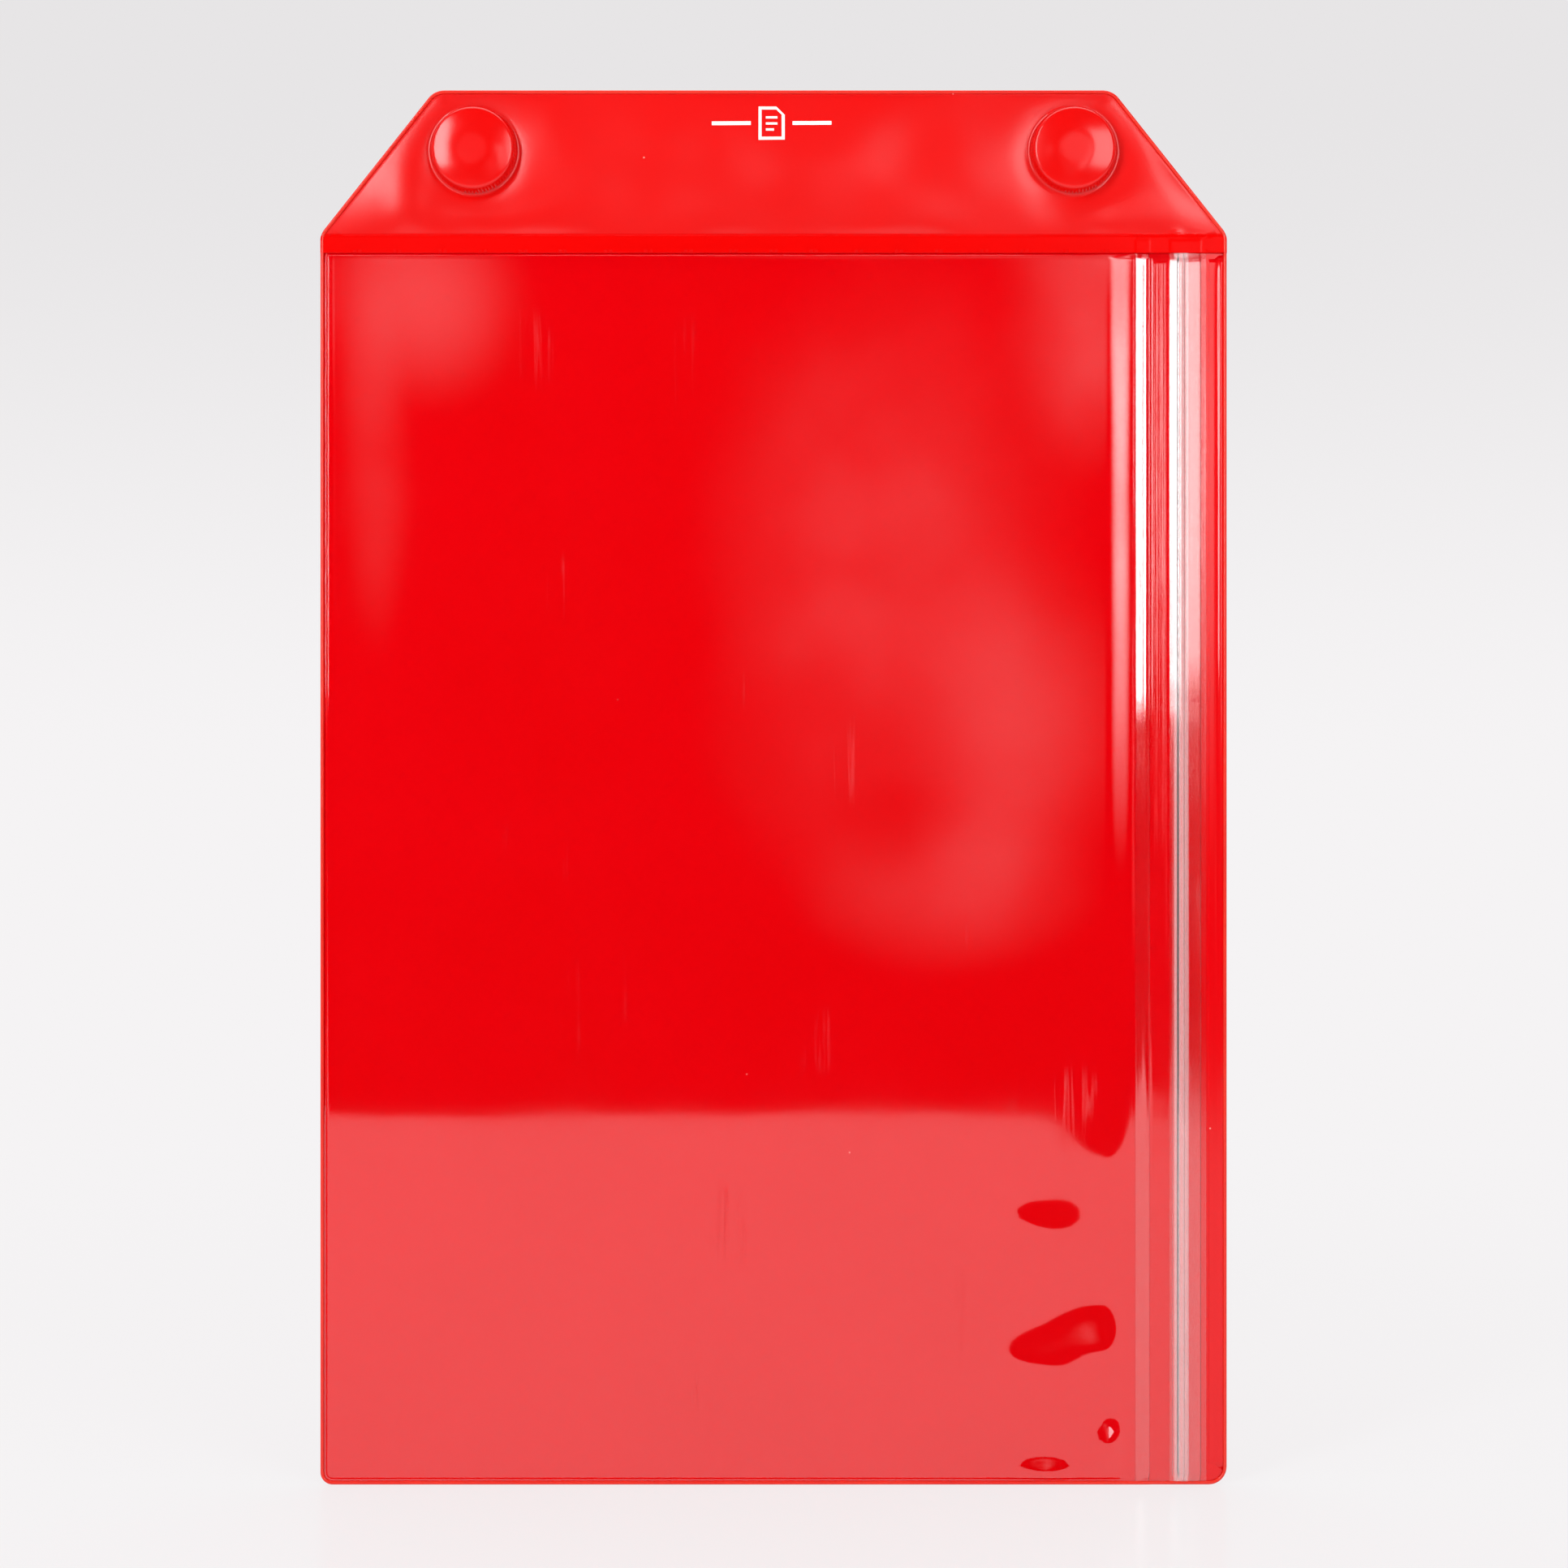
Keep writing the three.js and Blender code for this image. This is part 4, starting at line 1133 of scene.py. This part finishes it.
def floor_material(name):
    material, tree, shader, leave, place = blank_material(name)
    feed(tree, shader, {"Base Color": srgb(244, 243, 243), "Roughness": 0.16, "Specular IOR Level": 0.12})
    glow = added(tree, "ShaderNodeEmission", {"Color": PALE}).outputs[0]
    flat = added(tree, "ShaderNodeVectorMath", {0: place, 1: (1.0, 1.0, 0.0)}, operation="MULTIPLY")
    away = added(tree, "ShaderNodeVectorMath", {0: flat.outputs[0]}, operation="LENGTH")
    far = ranged(tree, away.outputs["Value"], 0.05, 0.8, NEAR_WHITE, 1.0)
    rays = tree.nodes.new("ShaderNodeLightPath").outputs
    seen = maths(tree, "MULTIPLY", far, rays["Is Camera Ray"])
    glowing = maths(tree, "MAXIMUM", seen, shiny_rays(tree, rays))
    tree.links.new(chosen(tree, glowing, shader.outputs[0], glow), leave.inputs["Surface"])
    return material


for name, near, far in (("table", TABLE_EDGE, FAR), ("floor_beyond", -FAR, TABLE_EDGE)):
    piece = plane(name, [(-FAR, near, TABLE), (FAR, near, TABLE), (FAR, far, TABLE), (-FAR, far, TABLE)])
    dress(piece, floor_material(name))
    piece.visible_glossy = piece.visible_transmission = name == "table"

# %% Room and background


def make_world():
    world = bpy.data.worlds.new("studio")
    bpy.context.scene.world = world
    world.use_nodes = True
    tree = world.node_tree
    tree.nodes.clear()
    parts = split(tree, tree.nodes.new("ShaderNodeTexCoord").outputs["Generated"])
    # Painted shade: the backdrop is darker towards the top, as if less lamp light reached it there.
    backdrop_with_painted_shade = mixed(tree, ranged(tree, parts["Z"], 0.0, 0.22), PALE, srgb(231, 229, 230))
    room = mixed(tree, ranged(tree, parts["Y"], -0.2, 0.1), srgb(8, 7, 7), backdrop_with_painted_shade)
    rays = tree.nodes.new("ShaderNodeLightPath").outputs
    seen, mirrored, fill = (
        added(tree, "ShaderNodeBackground", {"Color": colour, "Strength": strength}).outputs[0]
        for colour, strength in ((backdrop_with_painted_shade, 1.0), (room, 1.0), ((1.0, 1.0, 1.0, 1.0), FILL))
    )
    unseen = chosen(tree, shiny_rays(tree, rays), fill, mirrored)
    added(tree, "ShaderNodeOutputWorld", {"Surface": chosen(tree, rays["Is Camera Ray"], unseen, seen)})


make_world()

# %% Lamps


def soft_box(name, middle, target, width, height, brightness):
    """A soft box whose face has a given brightness, however large it is."""
    light = bpy.data.lights.new(name, "AREA")
    light.shape = "RECTANGLE"
    light.size, light.size_y = width, height
    light.energy = brightness * math.pi * width * height
    lamp = bpy.data.objects.new(name, light)
    lamp.location = middle
    lamp.rotation_euler = (Vector(target) - Vector(middle)).to_track_quat("-Z", "Y").to_euler()
    bpy.context.scene.collection.objects.link(lamp)


MIDDLE_Z = (FOOT + TOP) / 2 * MM
BOX_FOOT = -0.1
LAMPS = [
    # name, x, y, width, height, brightness of its face
    ("narrow_box_left", -0.85, -1.25, 0.36, 1.1, 10.5),
    ("wide_box_right", 0.76, -1.25, 0.6, 0.8, 4.6),
]
for name, x, y, width, height, brightness in LAMPS:
    spot = (x, y, BOX_FOOT + height / 2)
    soft_box(name, spot, (0, 0, spot[2]), width, height, brightness)
soft_box("over_table", (0, 0.2, 1.3), (0, 0.2, 0), 1.6, 1.6, 1.5)
print("Table at", round(TABLE, 4), "m, soft boxes from", round(BOX_FOOT, 3), "m up")

# %% Camera
DISTANCE = 0.8
PIXELS_PER_MM = 4.747
FRAME_MM = 1932 / PIXELS_PER_MM
SENSOR = 36.0
CAMERA_RIGHT, CAMERA_UP = 2.7 * MM, 0.9 * MM  # from the middle of the pocket
camera_data = bpy.data.cameras.new("camera")
camera_data.sensor_width = SENSOR
camera_data.lens = SENSOR * DISTANCE / (FRAME_MM * MM)
camera_data.clip_end = 50.0
camera = bpy.data.objects.new("camera", camera_data)
camera.location = (CAMERA_RIGHT, -DISTANCE, MIDDLE_Z + CAMERA_UP)
camera.rotation_euler = (math.radians(90), 0, 0)
bpy.context.scene.collection.objects.link(camera)
bpy.context.scene.camera = camera
bpy.context.scene.view_settings.view_transform = "Standard"
print("Lens", round(camera_data.lens, 1), "mm")

# %% [markdown]
# Pale things in the dark room
#
# The film's mirror also shows a few soft pale shapes, which hang in the room behind the camera.
# One card stands for all of them. Only mirrors see it, and it glows in soft round patches. Their
# places are given where the film shows them, and the card is larger by the mirror's own factor.

# %% The card
CARD_AT = 1.2
CARD_HALF_WIDTH, CARD_HALF_HEIGHT = 0.5, 0.7
PATCHES = [
    # x and z of the middle on the pocket, half width, half height, brightness
    (31.0, -95.0, 55.0, 80.0, 0.34),
    (80.0, -45.0, 24.0, 44.0, 0.6),
    (62.0, -150.0, 34.0, 60.0, 0.4),
    (45.0, -190.0, 45.0, 26.0, 0.36),
    (-91.0, -38.0, 30.0, 32.0, 0.5),
    (110.0, -2.0, 75.0, 42.0, 1.7),
    (118.0, -75.0, 16.0, 115.0, 4.6),
    (-104.0, -75.0, 10.0, 60.0, 0.3),
    (12.0, -150.0, 36.0, 45.0, 0.16),
    (-78.0, 1.0, 17.0, 14.0, 1.6),
    (-99.0, -14.0, 15.0, 16.0, 1.8),
    (79.0, 2.0, 18.0, 14.0, 1.3),
    (38.0, -8.0, 48.0, 20.0, 1.0),
    (-12.0, -6.0, 16.0, 18.0, 0.5),
]


def make_card():
    reach = 1 + CARD_AT / DISTANCE
    middle = Vector((camera.location.x, 0, camera.location.z))
    corners = [(-1, -1), (1, -1), (1, 1), (-1, 1)]
    card = plane("pale_shapes", [
        (middle.x + x * CARD_HALF_WIDTH, -CARD_AT, middle.z + z * CARD_HALF_HEIGHT) for x, z in corners
    ])
    material, tree, shader, leave, place = blank_material("pale_shapes")
    tree.nodes.remove(shader)
    total = 0.0
    for x, z, wide, high, brightness in PATCHES:
        spot = middle + (Vector((x * MM, 0, z * MM)) - middle) * reach
        across_x, across_z = wide * MM * reach, high * MM * reach
        put = added(tree, "ShaderNodeMapping", {
            "Vector": place, "Location": (-spot.x / across_x, 0.0, -spot.z / across_z),
            "Scale": (1 / across_x, 0.0, 1 / across_z),
        })
        off = added(tree, "ShaderNodeVectorMath", {0: put.outputs[0]}, operation="LENGTH")
        glow = ranged(tree, off.outputs["Value"], 0.05, 1.0, brightness, 0.0)
        total = maths(tree, "ADD", glow, total)
    wisps = ranged(tree, noise(tree, place, 7.0, 3.0), 0.3, 0.66, 0.45, 1.35)
    light = added(tree, "ShaderNodeEmission", {"Strength": maths(tree, "MULTIPLY", total, wisps)})
    clear = tree.nodes.new("ShaderNodeBsdfTransparent")
    both = added(tree, "ShaderNodeAddShader", {0: light.outputs[0], 1: clear.outputs[0]})
    tree.links.new(both.outputs[0], leave.inputs["Surface"])
    dress(card, material)
    card.visible_camera = card.visible_diffuse = card.visible_shadow = False


make_card()
print("Card with", len(PATCHES), "patches")
